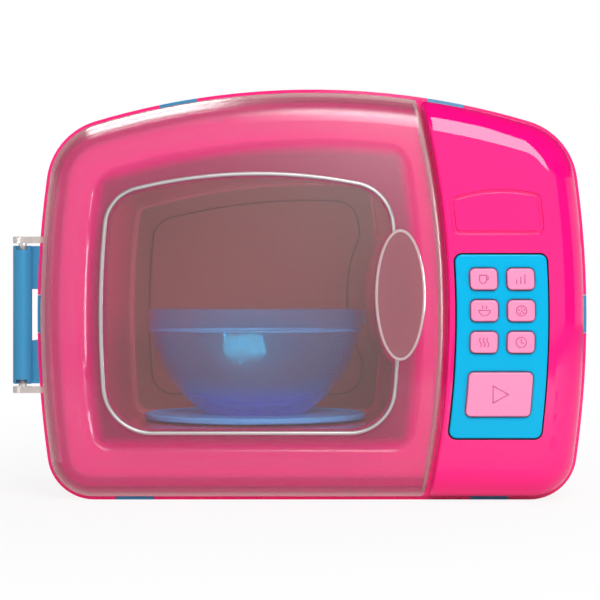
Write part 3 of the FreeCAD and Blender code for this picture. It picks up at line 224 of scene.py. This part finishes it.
# %% [markdown]
# One tall softbox in front and to the right lights the oven and draws the crisp pale streak along
# the top of the control panel. An area light's power is its brightness times pi times its area, so
# brightness is written here and power is worked out. A wide fill behind keeps the back from going
# dark. The other lamps each do one small job. A glossy cavity passes light about inside itself, and
# two soft lamps stand in for that: one just behind the door, and one in front that is linked to
# what stands in the oven. Lamps that show in gloss only, each linked to a piece or two, draw the
# highlights on the door and in the bowl.

# %% Lights
AIM = Vector((0.0, -0.08, 0.1))


def softbox(name, place, target, width, tall, brightness):
    """An area light at a place, turned to face a target."""
    data = bpy.data.lights.new(name, "AREA")
    data.shape = "RECTANGLE"
    data.size = width
    data.size_y = tall
    data.energy = brightness * math.pi * width * tall
    lamp = bpy.data.objects.new(name, data)
    lamp.location = place
    lamp.rotation_euler = (place - target).to_track_quat("Z", "Y").to_euler()
    scene.collection.objects.link(lamp)
    print(name, "power", round(data.energy, 1), "W")
    return lamp


def around(azimuth, elevation, distance):
    """A place round the oven. Azimuth 0 is in front and 90 to the right."""
    turn = math.radians(azimuth)
    lift = math.radians(elevation)
    level = math.cos(lift) * distance
    return AIM + Vector((math.sin(turn) * level, -math.cos(turn) * level, math.sin(lift) * distance))


def link_to(lamp, *nodes):
    """Let a lamp light only the pieces named."""
    lit = bpy.data.collections.new(f"lit_by_{lamp.name}")
    for node in nodes:
        lit.objects.link(frame["nodes"][node])
    lamp.light_linking.receiver_collection = lit


def gloss_only(lamp, *nodes):
    """Let a lamp show in the reflections of the pieces named, and light nothing."""
    lamp.visible_diffuse = False
    lamp.visible_camera = False
    link_to(lamp, *nodes)


FRONT = around(12.5, 33, 1.4)
FRONT_SIZE = {"width": 0.57, "tall": 1.15}
softbox("front_softbox", FRONT, AIM, brightness=7.9, **FRONT_SIZE)
rear = softbox("rear_fill", around(165, 35, 1.6), AIM, width=1.2, tall=1.0, brightness=3.0)
rear.visible_glossy = False

CAVITY_CORNER = Vector((0.020, -0.066, 0.135))
CAVITY_AIM = Vector((-0.08, 0.03, 0.085))
CAVITY_SPREAD = math.radians(150)
cavity = softbox("cavity_lamp", CAVITY_CORNER, CAVITY_AIM, width=0.08, tall=0.05, brightness=14.5)
cavity.data.spread = CAVITY_SPREAD
cavity.visible_glossy = False
cavity.visible_camera = False
link_to(cavity, "cavity_liner", "cavity_back_panel")
inside = softbox("inside_softbox", around(6, 22, 0.9), AIM, width=0.25, tall=0.25, brightness=62.0)
inside.visible_glossy = False
link_to(inside, "turntable", "bowl")

streak = softbox("door_streak", FRONT, AIM, brightness=32.0, **FRONT_SIZE)
gloss_only(streak, "door")
OVER_LEFT = Vector((-0.43, 0.45, 1.2))
UNDER_IT = OVER_LEFT - Vector((0, 0, 1))
shoulder = softbox("shoulder_light", OVER_LEFT, UNDER_IT, width=0.45, tall=1.3, brightness=22.0)
gloss_only(shoulder, "door")
edge = softbox("edge_strip", around(58, 4, 1.2), AIM, width=0.9, tall=0.34, brightness=90.0)
gloss_only(edge, "door", "door_pull")

BOWL_BACK = Vector((-0.038, 0.0470, 0.073))
GLINT_WAY = Vector((0.24, -0.74, 0.63))
GLINT_AWAY = 0.1
GLINT_CYAN = (0.02, 0.62, 1.0)
glint_place = BOWL_BACK + GLINT_WAY * GLINT_AWAY
glint = softbox("bowl_glint", glint_place, BOWL_BACK, width=0.060, tall=0.034, brightness=120.0)
glint.data.color = GLINT_CYAN
gloss_only(glint, "bowl")

# %% [markdown]
# Moulded plastic is not one flat colour. The melt leaves faint flow marks, the polished tool leaves
# a fine grain in the gloss, and broad faces ripple slightly. Three noise textures on Object
# coordinates give these, so no unwrapping is needed and the pattern has a real size. Gaps and the
# foot of a step get little light, and an Ambient Occlusion node finds them and paints that shade
# into the colour. Near its back rim the liner gets a thin painted highlight line and turns paler,
# so its colour follows depth.

# %% Moulded plastic


def new_finish(name):
    """An empty material with a Principled shader, and the Object coordinates to build on."""
    material = bpy.data.materials.new(name)
    material.use_nodes = True
    tree = material.node_tree
    tree.nodes.clear()
    shader = add_node(tree, "ShaderNodeBsdfPrincipled")
    add_node(tree, "ShaderNodeOutputMaterial", {"Surface": shader.outputs["BSDF"]})
    place = add_node(tree, "ShaderNodeTexCoord").outputs["Object"]
    return material, tree, shader, place


def flow_marks(tree, place, colour, depth, scale=18.0):
    """A colour, written or linked, that varies slowly between itself and a slightly deeper shade."""
    marks = add_node(tree, "ShaderNodeTexNoise", {"Vector": place, "Scale": scale, "Detail": 2.0})
    level = add_node(tree, "ShaderNodeMapRange", {
        "Value": marks.outputs["Fac"], "To Min": 1.0, "To Max": 1 - depth,
    })
    if not isinstance(colour, bpy.types.NodeSocket):
        colour = colour[:3]
    varied = add_node(tree, "ShaderNodeVectorMath", {
        0: colour, "Scale": level.outputs["Result"],
    }, operation="SCALE")
    return varied.outputs["Vector"]


def ramp_along(tree, place, axis, stops):
    """A colour ramp along an axis. Each stop is a place on it in metres, a colour and an alpha."""
    first, last = stops[0][0], stops[-1][0]
    along = add_node(tree, "ShaderNodeSeparateXYZ", {0: place}).outputs[axis]
    share = add_node(tree, "ShaderNodeMapRange", {
        "Value": along, "From Min": first, "From Max": last,
    })
    ramp = add_node(tree, "ShaderNodeValToRGB", {"Fac": share.outputs["Result"]})
    fill_ramp(ramp, [
        ((at - first) / (last - first), (*colour[:3], alpha)) for at, colour, alpha in stops
    ])
    return ramp


def gloss_grain(tree, place, roughness, spread, scale=420.0):
    """A roughness with a fine grain."""
    grain = add_node(tree, "ShaderNodeTexNoise", {"Vector": place, "Scale": scale, "Detail": 1.0})
    level = add_node(tree, "ShaderNodeMapRange", {
        "Value": grain.outputs["Fac"], "To Min": roughness - spread, "To Max": roughness + spread,
    })
    return level.outputs["Result"]


def ripple(tree, place, strength, scale=45.0):
    """A normal that ripples slightly."""
    wave = add_node(tree, "ShaderNodeTexNoise", {"Vector": place, "Scale": scale, "Detail": 0.0})
    bump = add_node(tree, "ShaderNodeBump", {
        "Height": wave.outputs["Fac"], "Strength": strength, "Distance": 0.001,
    })
    return bump.outputs["Normal"]


def moulded(name, colour, roughness, depth=0.05, wave=0.01, ior=1.5):
    """Opaque moulded plastic of one colour, or of colours that follow Y."""
    material, tree, shader, place = new_finish(name)
    if isinstance(colour, list):
        colour = ramp_along(tree, place, "Y", colour).outputs["Color"]
    tree.links.new(flow_marks(tree, place, colour, depth), shader.inputs["Base Color"])
    tree.links.new(gloss_grain(tree, place, roughness, roughness * 0.2), shader.inputs["Roughness"])
    tree.links.new(ripple(tree, place, wave), shader.inputs["Normal"])
    shader.inputs["IOR"].default_value = ior
    return material


NEARLY_OPEN = 0.9


def paint_corner_shade(material, reach, least, deep=0.5, alone=False):
    """Paint shade into a finish's inner corners, found from the piece alone or with its neighbours.
    """
    tree = material.node_tree
    colour = tree.nodes["Principled BSDF"].inputs["Base Color"]
    opened = add_node(tree, "ShaderNodeAmbientOcclusion", {"Distance": reach}, only_local=alone)
    level = add_node(tree, "ShaderNodeMapRange", {
        "Value": opened.outputs["AO"], "From Min": deep, "From Max": NEARLY_OPEN,
        "To Min": least, "To Max": 1.0,
    })
    darker = add_node(tree, "ShaderNodeVectorMath", {
        0: colour.links[0].from_socket, "Scale": level.outputs["Result"],
    }, operation="SCALE")
    tree.links.new(darker.outputs["Vector"], colour)


pink_front = moulded("pink_front_finish", tone(255, 10, 130), roughness=0.05, ior=1.55)
pink_body = moulded("pink_body_finish", tone(252, 16, 128), roughness=0.10)
LINER_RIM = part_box("cavity_back_panel")[0].y - 0.0008
WALL_PINK = tone(252, 32, 126)
CORNER_PINK = tone(240, 112, 136)
DULL_PINK = tone(176, 104, 106)
HIGHLIGHT_PINK = tone(255, 205, 208)
# Near the back rim the liner gets a thin painted highlight line, then turns paler on its rounded
# corner and takes the back panel's colour at the rim.
pink_liner = moulded("pink_liner_finish", [
    (LINER_RIM - 0.1000, WALL_PINK, 1.0),
    (LINER_RIM - 0.0120, WALL_PINK, 1.0),
    (LINER_RIM - 0.0095, HIGHLIGHT_PINK, 1.0),
    (LINER_RIM - 0.0045, HIGHLIGHT_PINK, 1.0),
    (LINER_RIM - 0.0025, CORNER_PINK, 1.0),
    (LINER_RIM - 0.0004, CORNER_PINK, 1.0),
    (LINER_RIM - 0.0001, DULL_PINK, 1.0),
], roughness=0.12)
pink_back = moulded("pink_back_finish", DULL_PINK, roughness=0.06)
# Painted shade: the foot of the raised pad is darkened, which draws a dark shade line round it.
paint_corner_shade(pink_back, reach=0.003, least=0.35, deep=0.7, alone=True)
blue_keypad = moulded("blue_keypad_finish", tone(0, 180, 228), roughness=0.14, ior=1.25)
# Painted shade: the gaps round the keys and at the keypad's edge are darkened.
paint_corner_shade(blue_keypad, reach=0.002, least=0.08)
blue_hinge = moulded("blue_hinge_finish", tone(54, 142, 188), roughness=0.22)
pale_keys = moulded("pale_keys_finish", tone(246, 148, 190), roughness=0.25, ior=1.4)
white_inner = moulded("white_inner_finish", tone(226, 226, 222), roughness=0.35)
mark_pink = moulded("mark_pink_finish", tone(214, 96, 152), roughness=0.3)
print("plastics:", len(bpy.data.materials) - 1)

# %% [markdown]
# The door is one smoky clear moulding. Its flat frame lies close over the pink front and looks
# nearly clear. The pane is given a denser, darker smoke, and the rolled edges look greyer, because
# light crosses more plastic there. Depth behind the front face tells these places apart, so a colour
# ramp along Y sets colour and alpha together. Clear plastic tints what is seen through it but lets
# most light in, so rays that carry light to the inside meet a thinner alpha. The pull is made the
# same way, and the pale rim at its front is a painted highlight.

# %% Smoky clear plastics
DOOR_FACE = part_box("door")[0].y
DOOR_DEPTH = 0.0157
LIGHT_LET_IN = 0.85


def clear_plastic(name, colour, alpha, roughness, ior):
    """Clear tinted plastic of one density."""
    material, tree, shader, place = new_finish(name)
    tree.links.new(flow_marks(tree, place, colour, 0.08), shader.inputs["Base Color"])
    tree.links.new(gloss_grain(tree, place, roughness, roughness * 0.15), shader.inputs["Roughness"])
    shader.inputs["Alpha"].default_value = alpha
    shader.inputs["IOR"].default_value = ior
    return material, tree, shader, place


def layered_clear(name, front, stops, roughness, ior, fade=None):
    """Clear plastic whose colour and density follow the depth behind its front face."""
    material, tree, shader, place = new_finish(name)
    ramp = ramp_along(tree, place, "Y", [
        (front + behind, colour, alpha) for behind, colour, alpha in stops
    ])
    ray = add_node(tree, "ShaderNodeLightPath")
    lighting = add_node(tree, "ShaderNodeMath", {
        0: ray.outputs["Is Shadow Ray"], 1: ray.outputs["Is Diffuse Ray"],
    }, operation="MAXIMUM")
    spared = add_node(tree, "ShaderNodeMath", {
        0: lighting.outputs["Value"], 1: -LIGHT_LET_IN, 2: 1.0,
    }, operation="MULTIPLY_ADD")
    density = add_node(tree, "ShaderNodeMath", {
        0: ramp.outputs["Alpha"], 1: spared.outputs["Value"],
    }, operation="MULTIPLY")
    if fade:
        density = add_node(tree, "ShaderNodeMath", {
            0: density.outputs["Value"], 1: fade(tree, place),
        }, operation="MULTIPLY")
    tree.links.new(ramp.outputs["Color"], shader.inputs["Base Color"])
    tree.links.new(density.outputs["Value"], shader.inputs["Alpha"])
    tree.links.new(gloss_grain(tree, place, roughness, roughness * 0.15), shader.inputs["Roughness"])
    shader.inputs["IOR"].default_value = ior
    return material


# The window's sides are arcs of large circles, given as middle X, middle Z and radius.
WINDOW_SIDES = (
    (0.0, -0.172, 0.3485), (-0.36775, 0.092, 0.42075),
    (0.36775, 0.092, 0.478), (0.0, 10.0276, 10.0),
)
FLATTEN = (1.0, 0.0, 1.0)
FADE_WIDTH = 0.0055
FADE_LEAST = 0.46
LIP_TOP, LIP_FOOT = 0.0012, 0.0030
LIP_REACH = 0.006


def window_fade(tree, place):
    """Thin the smoke softly from the middle of the window towards its edge."""
    level = add_node(tree, "ShaderNodeVectorMath", {
        0: place, 1: FLATTEN,
    }, operation="MULTIPLY")
    edge = None
    for x, z, radius in WINDOW_SIDES:
        away = add_node(tree, "ShaderNodeVectorMath", {
            0: level.outputs["Vector"], 1: (x, 0.0, z),
        }, operation="DISTANCE")
        beyond = add_node(tree, "ShaderNodeMath", {
            0: away.outputs["Value"], 1: radius,
        }, operation="SUBTRACT").outputs["Value"]
        if edge:
            beyond = add_node(tree, "ShaderNodeMath", {
                0: edge, 1: beyond, 2: FADE_WIDTH / 2,
            }, operation="SMOOTH_MAX").outputs["Value"]
        edge = beyond
    inside = add_node(tree, "ShaderNodeMapRange", {
        "Value": edge, "From Min": -FADE_WIDTH, "From Max": 0.0,
        "To Min": 1.0, "To Max": FADE_LEAST,
    }, interpolation_type="SMOOTHSTEP")
    outside = add_node(tree, "ShaderNodeMath", {0: edge, 1: LIP_REACH}, operation="GREATER_THAN")
    kept = add_node(tree, "ShaderNodeMath", {
        0: inside.outputs["Result"], 1: outside.outputs["Value"],
    }, operation="MAXIMUM")
    depth = add_node(tree, "ShaderNodeSeparateXYZ", {0: place}).outputs["Y"]
    sunk = add_node(tree, "ShaderNodeMapRange", {
        "Value": depth, "From Min": DOOR_FACE + LIP_TOP, "From Max": DOOR_FACE + LIP_FOOT,
    })
    return add_node(tree, "ShaderNodeMix", {
        "Factor": sunk.outputs["Result"], "A": 1.0, "B": kept.outputs["Value"],
    }, data_type="FLOAT").outputs["Result"]


SMOKE_PALE = tone(150, 134, 136)
SMOKE = tone(82, 74, 72)
SMOKE_EDGE = tone(180, 164, 156)
smoky_clear = layered_clear("smoky_door_finish", DOOR_FACE, (
    (0.0000, SMOKE_PALE, 0.14),
    (0.0023, SMOKE_PALE, 0.14),
    (0.0033, SMOKE, 0.44),
    (0.0060, SMOKE, 0.44),
    (0.0085, SMOKE_EDGE, 0.46),
    (DOOR_DEPTH, SMOKE_EDGE, 0.55),
), roughness=0.20, ior=1.5, fade=window_fade)
PULL_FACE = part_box("door_pull")[0].y
PULL_SMOKE = tone(152, 96, 104)
PULL_RIM_HIGHLIGHT = tone(206, 192, 192)
# The pale band at the front of the pull is a painted highlight on its rim.
smoky_pull = layered_clear("smoky_pull_finish", PULL_FACE, (
    (0.0000, PULL_RIM_HIGHLIGHT, 0.70),
    (0.0004, PULL_RIM_HIGHLIGHT, 0.60),
    (0.0006, PULL_SMOKE, 0.75),
    (0.0030, PULL_SMOKE, 0.70),
), roughness=0.12, ior=1.5)
PLATE_BLUE = tone(104, 182, 255)
clear_blue = clear_plastic("clear_blue_finish", PLATE_BLUE, alpha=0.96, roughness=0.25, ior=1.15)[0]
door_end = DOOR_FACE + DOOR_DEPTH
print("door finish runs from", round(DOOR_FACE, 4), "to", round(door_end, 4), "m along Y")

# %% [markdown]
# The bowl is clear blue plastic. A thin wall looks denser where it is seen at a slant, because the
# light has more of it to cross, and Layer Weight gives that. The thick base is denser too, and a
# pale painted highlight line lies along the ledge under the rim band, so a ramp along Z adds to
# both. A smooth coat over a soft body gives a crisp glint with a wide glow round it.

# %% Clear bowl
BOWL_LOW, BOWL_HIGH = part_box("bowl")[0].z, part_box("bowl")[1].z
BASE_FULL, BASE_END = BOWL_LOW + 0.008, BOWL_LOW + 0.016
LEDGE = BOWL_HIGH - 0.0115
LEDGE_HALF, LEDGE_SOFT = 0.0004, 0.0008
SLANT_BLEND, SLANT_START, SLANT_MOST = 0.3, 0.2, 0.6
BOWL_BLUE = tone(72, 158, 232)
BASE_BLUE = tone(100, 128, 250)
LEDGE_HIGHLIGHT_BLUE = tone(120, 190, 255)
clear_bowl, tree, bowl_shader, place = clear_plastic(
    "clear_bowl_finish", BOWL_BLUE, alpha=1.0, roughness=0.40, ior=1.5,
)
# The pale, denser band at the ledge is a painted highlight line.
ramp = ramp_along(tree, place, "Z", (
    (BOWL_LOW, BASE_BLUE, 0.38),
    (BASE_FULL, BASE_BLUE, 0.34),
    (BASE_END, BOWL_BLUE, 0.14),
    (LEDGE - LEDGE_SOFT, BOWL_BLUE, 0.14),
    (LEDGE - LEDGE_HALF, LEDGE_HIGHLIGHT_BLUE, 0.60),
    (LEDGE + LEDGE_HALF, LEDGE_HIGHLIGHT_BLUE, 0.60),
    (LEDGE + LEDGE_SOFT, BOWL_BLUE, 0.15),
    (BOWL_HIGH, BOWL_BLUE, 0.15),
))
slant = add_node(tree, "ShaderNodeLayerWeight", {"Blend": SLANT_BLEND})
thicker = add_node(tree, "ShaderNodeMapRange", {
    "Value": slant.outputs["Facing"], "From Min": SLANT_START, "From Max": 1.0,
    "To Max": SLANT_MOST,
})
density = add_node(tree, "ShaderNodeMath", {
    0: ramp.outputs["Alpha"], 1: thicker.outputs["Result"],
}, operation="ADD", use_clamp=True)
tree.links.new(ramp.outputs["Color"], bowl_shader.inputs["Base Color"])
tree.links.new(density.outputs["Value"], bowl_shader.inputs["Alpha"])
bowl_shader.inputs["Coat Weight"].default_value = 1.0
bowl_shader.inputs["Coat Roughness"].default_value = 0.05
print("bowl ledge at", round(LEDGE, 4), "m")

# %% [markdown]
# The bead round the window is given a silvery finish, a painted highlight that stands for the bright
# edge of a clear moulded bead, and the screws are plain steel. Both are metal to the shader, the
# strip a little less so, and they differ in how fine their brushing is.

# %% Silver and steel


def metal(name, colour, roughness, scale, metallic=1.0):
    """Brushed metal. A higher scale is a finer brushing."""
    material, tree, shader, place = new_finish(name)
    tree.links.new(flow_marks(tree, place, colour, 0.1, scale), shader.inputs["Base Color"])
    tree.links.new(gloss_grain(tree, place, roughness, roughness * 0.3), shader.inputs["Roughness"])
    shader.inputs["Metallic"].default_value = metallic
    return material


TRIM_HIGHLIGHT_GREY = tone(196, 192, 192)
STEEL = tone(170, 172, 175)
# Painted highlight: the pale silver of the window bead stands for the bright edge of clear plastic.
silver_trim = metal("silver_trim_finish", TRIM_HIGHLIGHT_GREY, roughness=0.35, scale=60.0, metallic=0.6)
screw_steel = metal("screw_steel_finish", STEEL, roughness=0.35, scale=300.0)
print("metals:", silver_trim.name, "and", screw_steel.name)

# %% [markdown]
# Every solid of the frame now takes the finish that belongs to its material slot in the record, so
# a slot is painted once and all its pieces follow.

# %% Finish for every solid
finishes = {
    "pink_body": pink_body, "pink_front": pink_front, "blue_clips": blue_hinge,
    "pink_liner": pink_liner, "pink_back": pink_back, "blue_keypad": blue_keypad,
    "blue_hinge": blue_hinge, "pale_pink_keys": pale_keys, "smoky_clear": smoky_clear,
    "smoky_pull": smoky_pull, "clear_blue": clear_blue, "clear_smoke_blue": clear_bowl,
    "silver_trim": silver_trim, "white_inner": white_inner, "screw_steel": screw_steel,
}
for part in frame["record"]["subparts"]:
    mesh = frame["nodes"][part["node"]].data
    mesh.materials.clear()
    mesh.materials.append(finishes[part["material_slot"]])

# %% [markdown]
# Each key carries a small raised line drawing. The drawings are plain signs made of two kinds of
# stroke: a bar between two points, and a bar bent about a point. A bar is a thin cone operator with
# equal ends, and a bent bar is a circle spun about the direction in which the key is pressed. Round
# ends hide where strokes meet.

# %% Strokes for the key marks
MM = 0.001
STROKE = 0.28 * MM
SUNK = 0.08 * MM
STROKE_SIDES = 10
LEAST_STEPS, STEP_DEGREES = 8, 10


def flat(point):
    """A point of a key's face in millimetres, as a vector in metres."""
    return Vector((point[0], 0, point[1])) * MM


def dot(bm, point, radius=STROKE):
    """A round end for a stroke, or a spot of its own."""
    bmesh.ops.create_uvsphere(bm, u_segments=STROKE_SIDES, v_segments=6, radius=radius,
                              matrix=Matrix.Translation(flat(point)))


def bar(bm, start, end):
    """A straight stroke between two points."""
    along = flat(end) - flat(start)
    turn = along.to_track_quat("Z", "Y").to_matrix().to_4x4()
    place = Matrix.Translation((flat(start) + flat(end)) / 2) @ turn
    bmesh.ops.create_cone(bm, cap_ends=True, segments=STROKE_SIDES, radius1=STROKE, radius2=STROKE,
                          depth=along.length, matrix=place)
    dot(bm, start)
    dot(bm, end)


def bent_bar(bm, centre, radius, start, sweep):
    """A stroke bent about a centre, with angles in degrees from the right towards the top."""
    middle = flat(centre)
    ring = bmesh.ops.create_circle(bm, segments=STROKE_SIDES, radius=STROKE)["verts"]
    bmesh.ops.translate(bm, verts=ring, vec=(radius * MM, 0, 0))
    turn = Matrix.Rotation(math.radians(-start), 3, "Y")
    bmesh.ops.rotate(bm, verts=ring, cent=(0, 0, 0), matrix=turn)
    bmesh.ops.translate(bm, verts=ring, vec=middle)
    edges = {edge for vert in ring for edge in vert.link_edges}
    steps = max(LEAST_STEPS, int(abs(sweep) / STEP_DEGREES))
    bmesh.ops.spin(bm, geom=ring + list(edges), cent=middle, axis=(0, 1, 0),
                   angle=math.radians(-sweep), steps=steps, use_merge=abs(sweep) >= 360)
    if abs(sweep) < 360:
        for angle in (math.radians(start), math.radians(start + sweep)):
            dot(bm, (centre[0] + radius * math.cos(angle), centre[1] + radius * math.sin(angle)))


print("strokes are", round(2 * STROKE / MM, 2), "mm wide")

# %% [markdown]
# Six plain signs that suit an oven: a cup, three rising bars, a bowl with two wisps of steam, a
# biscuit, three waves of heat and a clock. The wide key gets a triangle, the usual sign for
# starting.

# %% Drawings on the keys


def cup(bm):
    bent_bar(bm, (-0.4, -0.4), 1.7, 180, 180)
    bar(bm, (-2.1, -0.4), (-2.1, 1.9))
    bar(bm, (1.3, -0.4), (1.3, 1.9))
    bar(bm, (-2.1, 1.9), (1.3, 1.9))
    bent_bar(bm, (1.3, 0.5), 0.95, -90, 180)


def rising_bars(bm):
    for x, top in ((-2.0, -0.4), (0.0, 0.9), (2.0, 2.2)):
        bar(bm, (x, -2.2), (x, top))


def steaming_bowl(bm):
    bent_bar(bm, (0, 0.2), 2.7, 180, 180)
    bar(bm, (-2.7, 0.2), (2.7, 0.2))
    for x in (-0.9, 0.9):
        bar(bm, (x, 1.2), (x, 2.3))


def biscuit(bm):
    bent_bar(bm, (0, 0), 2.5, 0, 360)
    crumbs = ((-1.3, 0.3), (0.0, 1.4), (1.4, 0.5), (0.2, -0.2), (-0.7, -1.3), (1.0, -1.1))
    for point in crumbs:
        dot(bm, point, 1.6 * STROKE)


def heat_waves(bm):
    for x in (-1.8, 0.0, 1.8):
        bent_bar(bm, (x + 1.06, 1.06), 1.5, 135, 90)
        bent_bar(bm, (x - 1.06, -1.06), 1.5, 45, -90)


def clock(bm):
    bent_bar(bm, (0, 0), 2.5, 0, 360)
    bar(bm, (0, 0), (0, 1.6))
    bar(bm, (0, 0), (1.1, -0.5))


def triangle(bm):
    corners = ((-3.2, -4.2), (4.4, 0), (-3.2, 4.2))
    for start, end in zip(corners, corners[1:] + corners[:1]):
        bar(bm, start, end)


drawings = {
    "key_1": cup, "key_2": rising_bars, "key_3": steaming_bowl, "key_4": biscuit,
    "key_5": heat_waves, "key_6": clock, "start_key": triangle,
}
for key, draw in drawings.items():
    mark_bm = bmesh.new()
    draw(mark_bm)
    open_edges = [edge for edge in mark_bm.edges if edge.is_boundary]
    bmesh.ops.holes_fill(mark_bm, edges=open_edges, sides=STROKE_SIDES)
    low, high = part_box(key)
    middle = (low + high) / 2
    bmesh.ops.translate(mark_bm, verts=mark_bm.verts, vec=(middle.x, low.y + SUNK, middle.z))
    bmesh.ops.recalc_face_normals(mark_bm, faces=mark_bm.faces)
    for face in mark_bm.faces:
        face.smooth = True
    mark_mesh = bpy.data.meshes.new(f"{key}_mark")
    mark_bm.to_mesh(mark_mesh)
    mark_bm.free()
    mark_mesh.materials.append(mark_pink)
    mark = bpy.data.objects.new(f"{key}_mark", mark_mesh)
    scene.collection.objects.link(mark)
    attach(mark, key)
    print(mark.name, len(mark_mesh.polygons), "faces")

# %% [markdown]
# The size of the dressed model is printed at the end.

# %% Size and end
low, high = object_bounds()
print("size in metres:", [round(b - a, 4) for a, b in zip(low, high)])
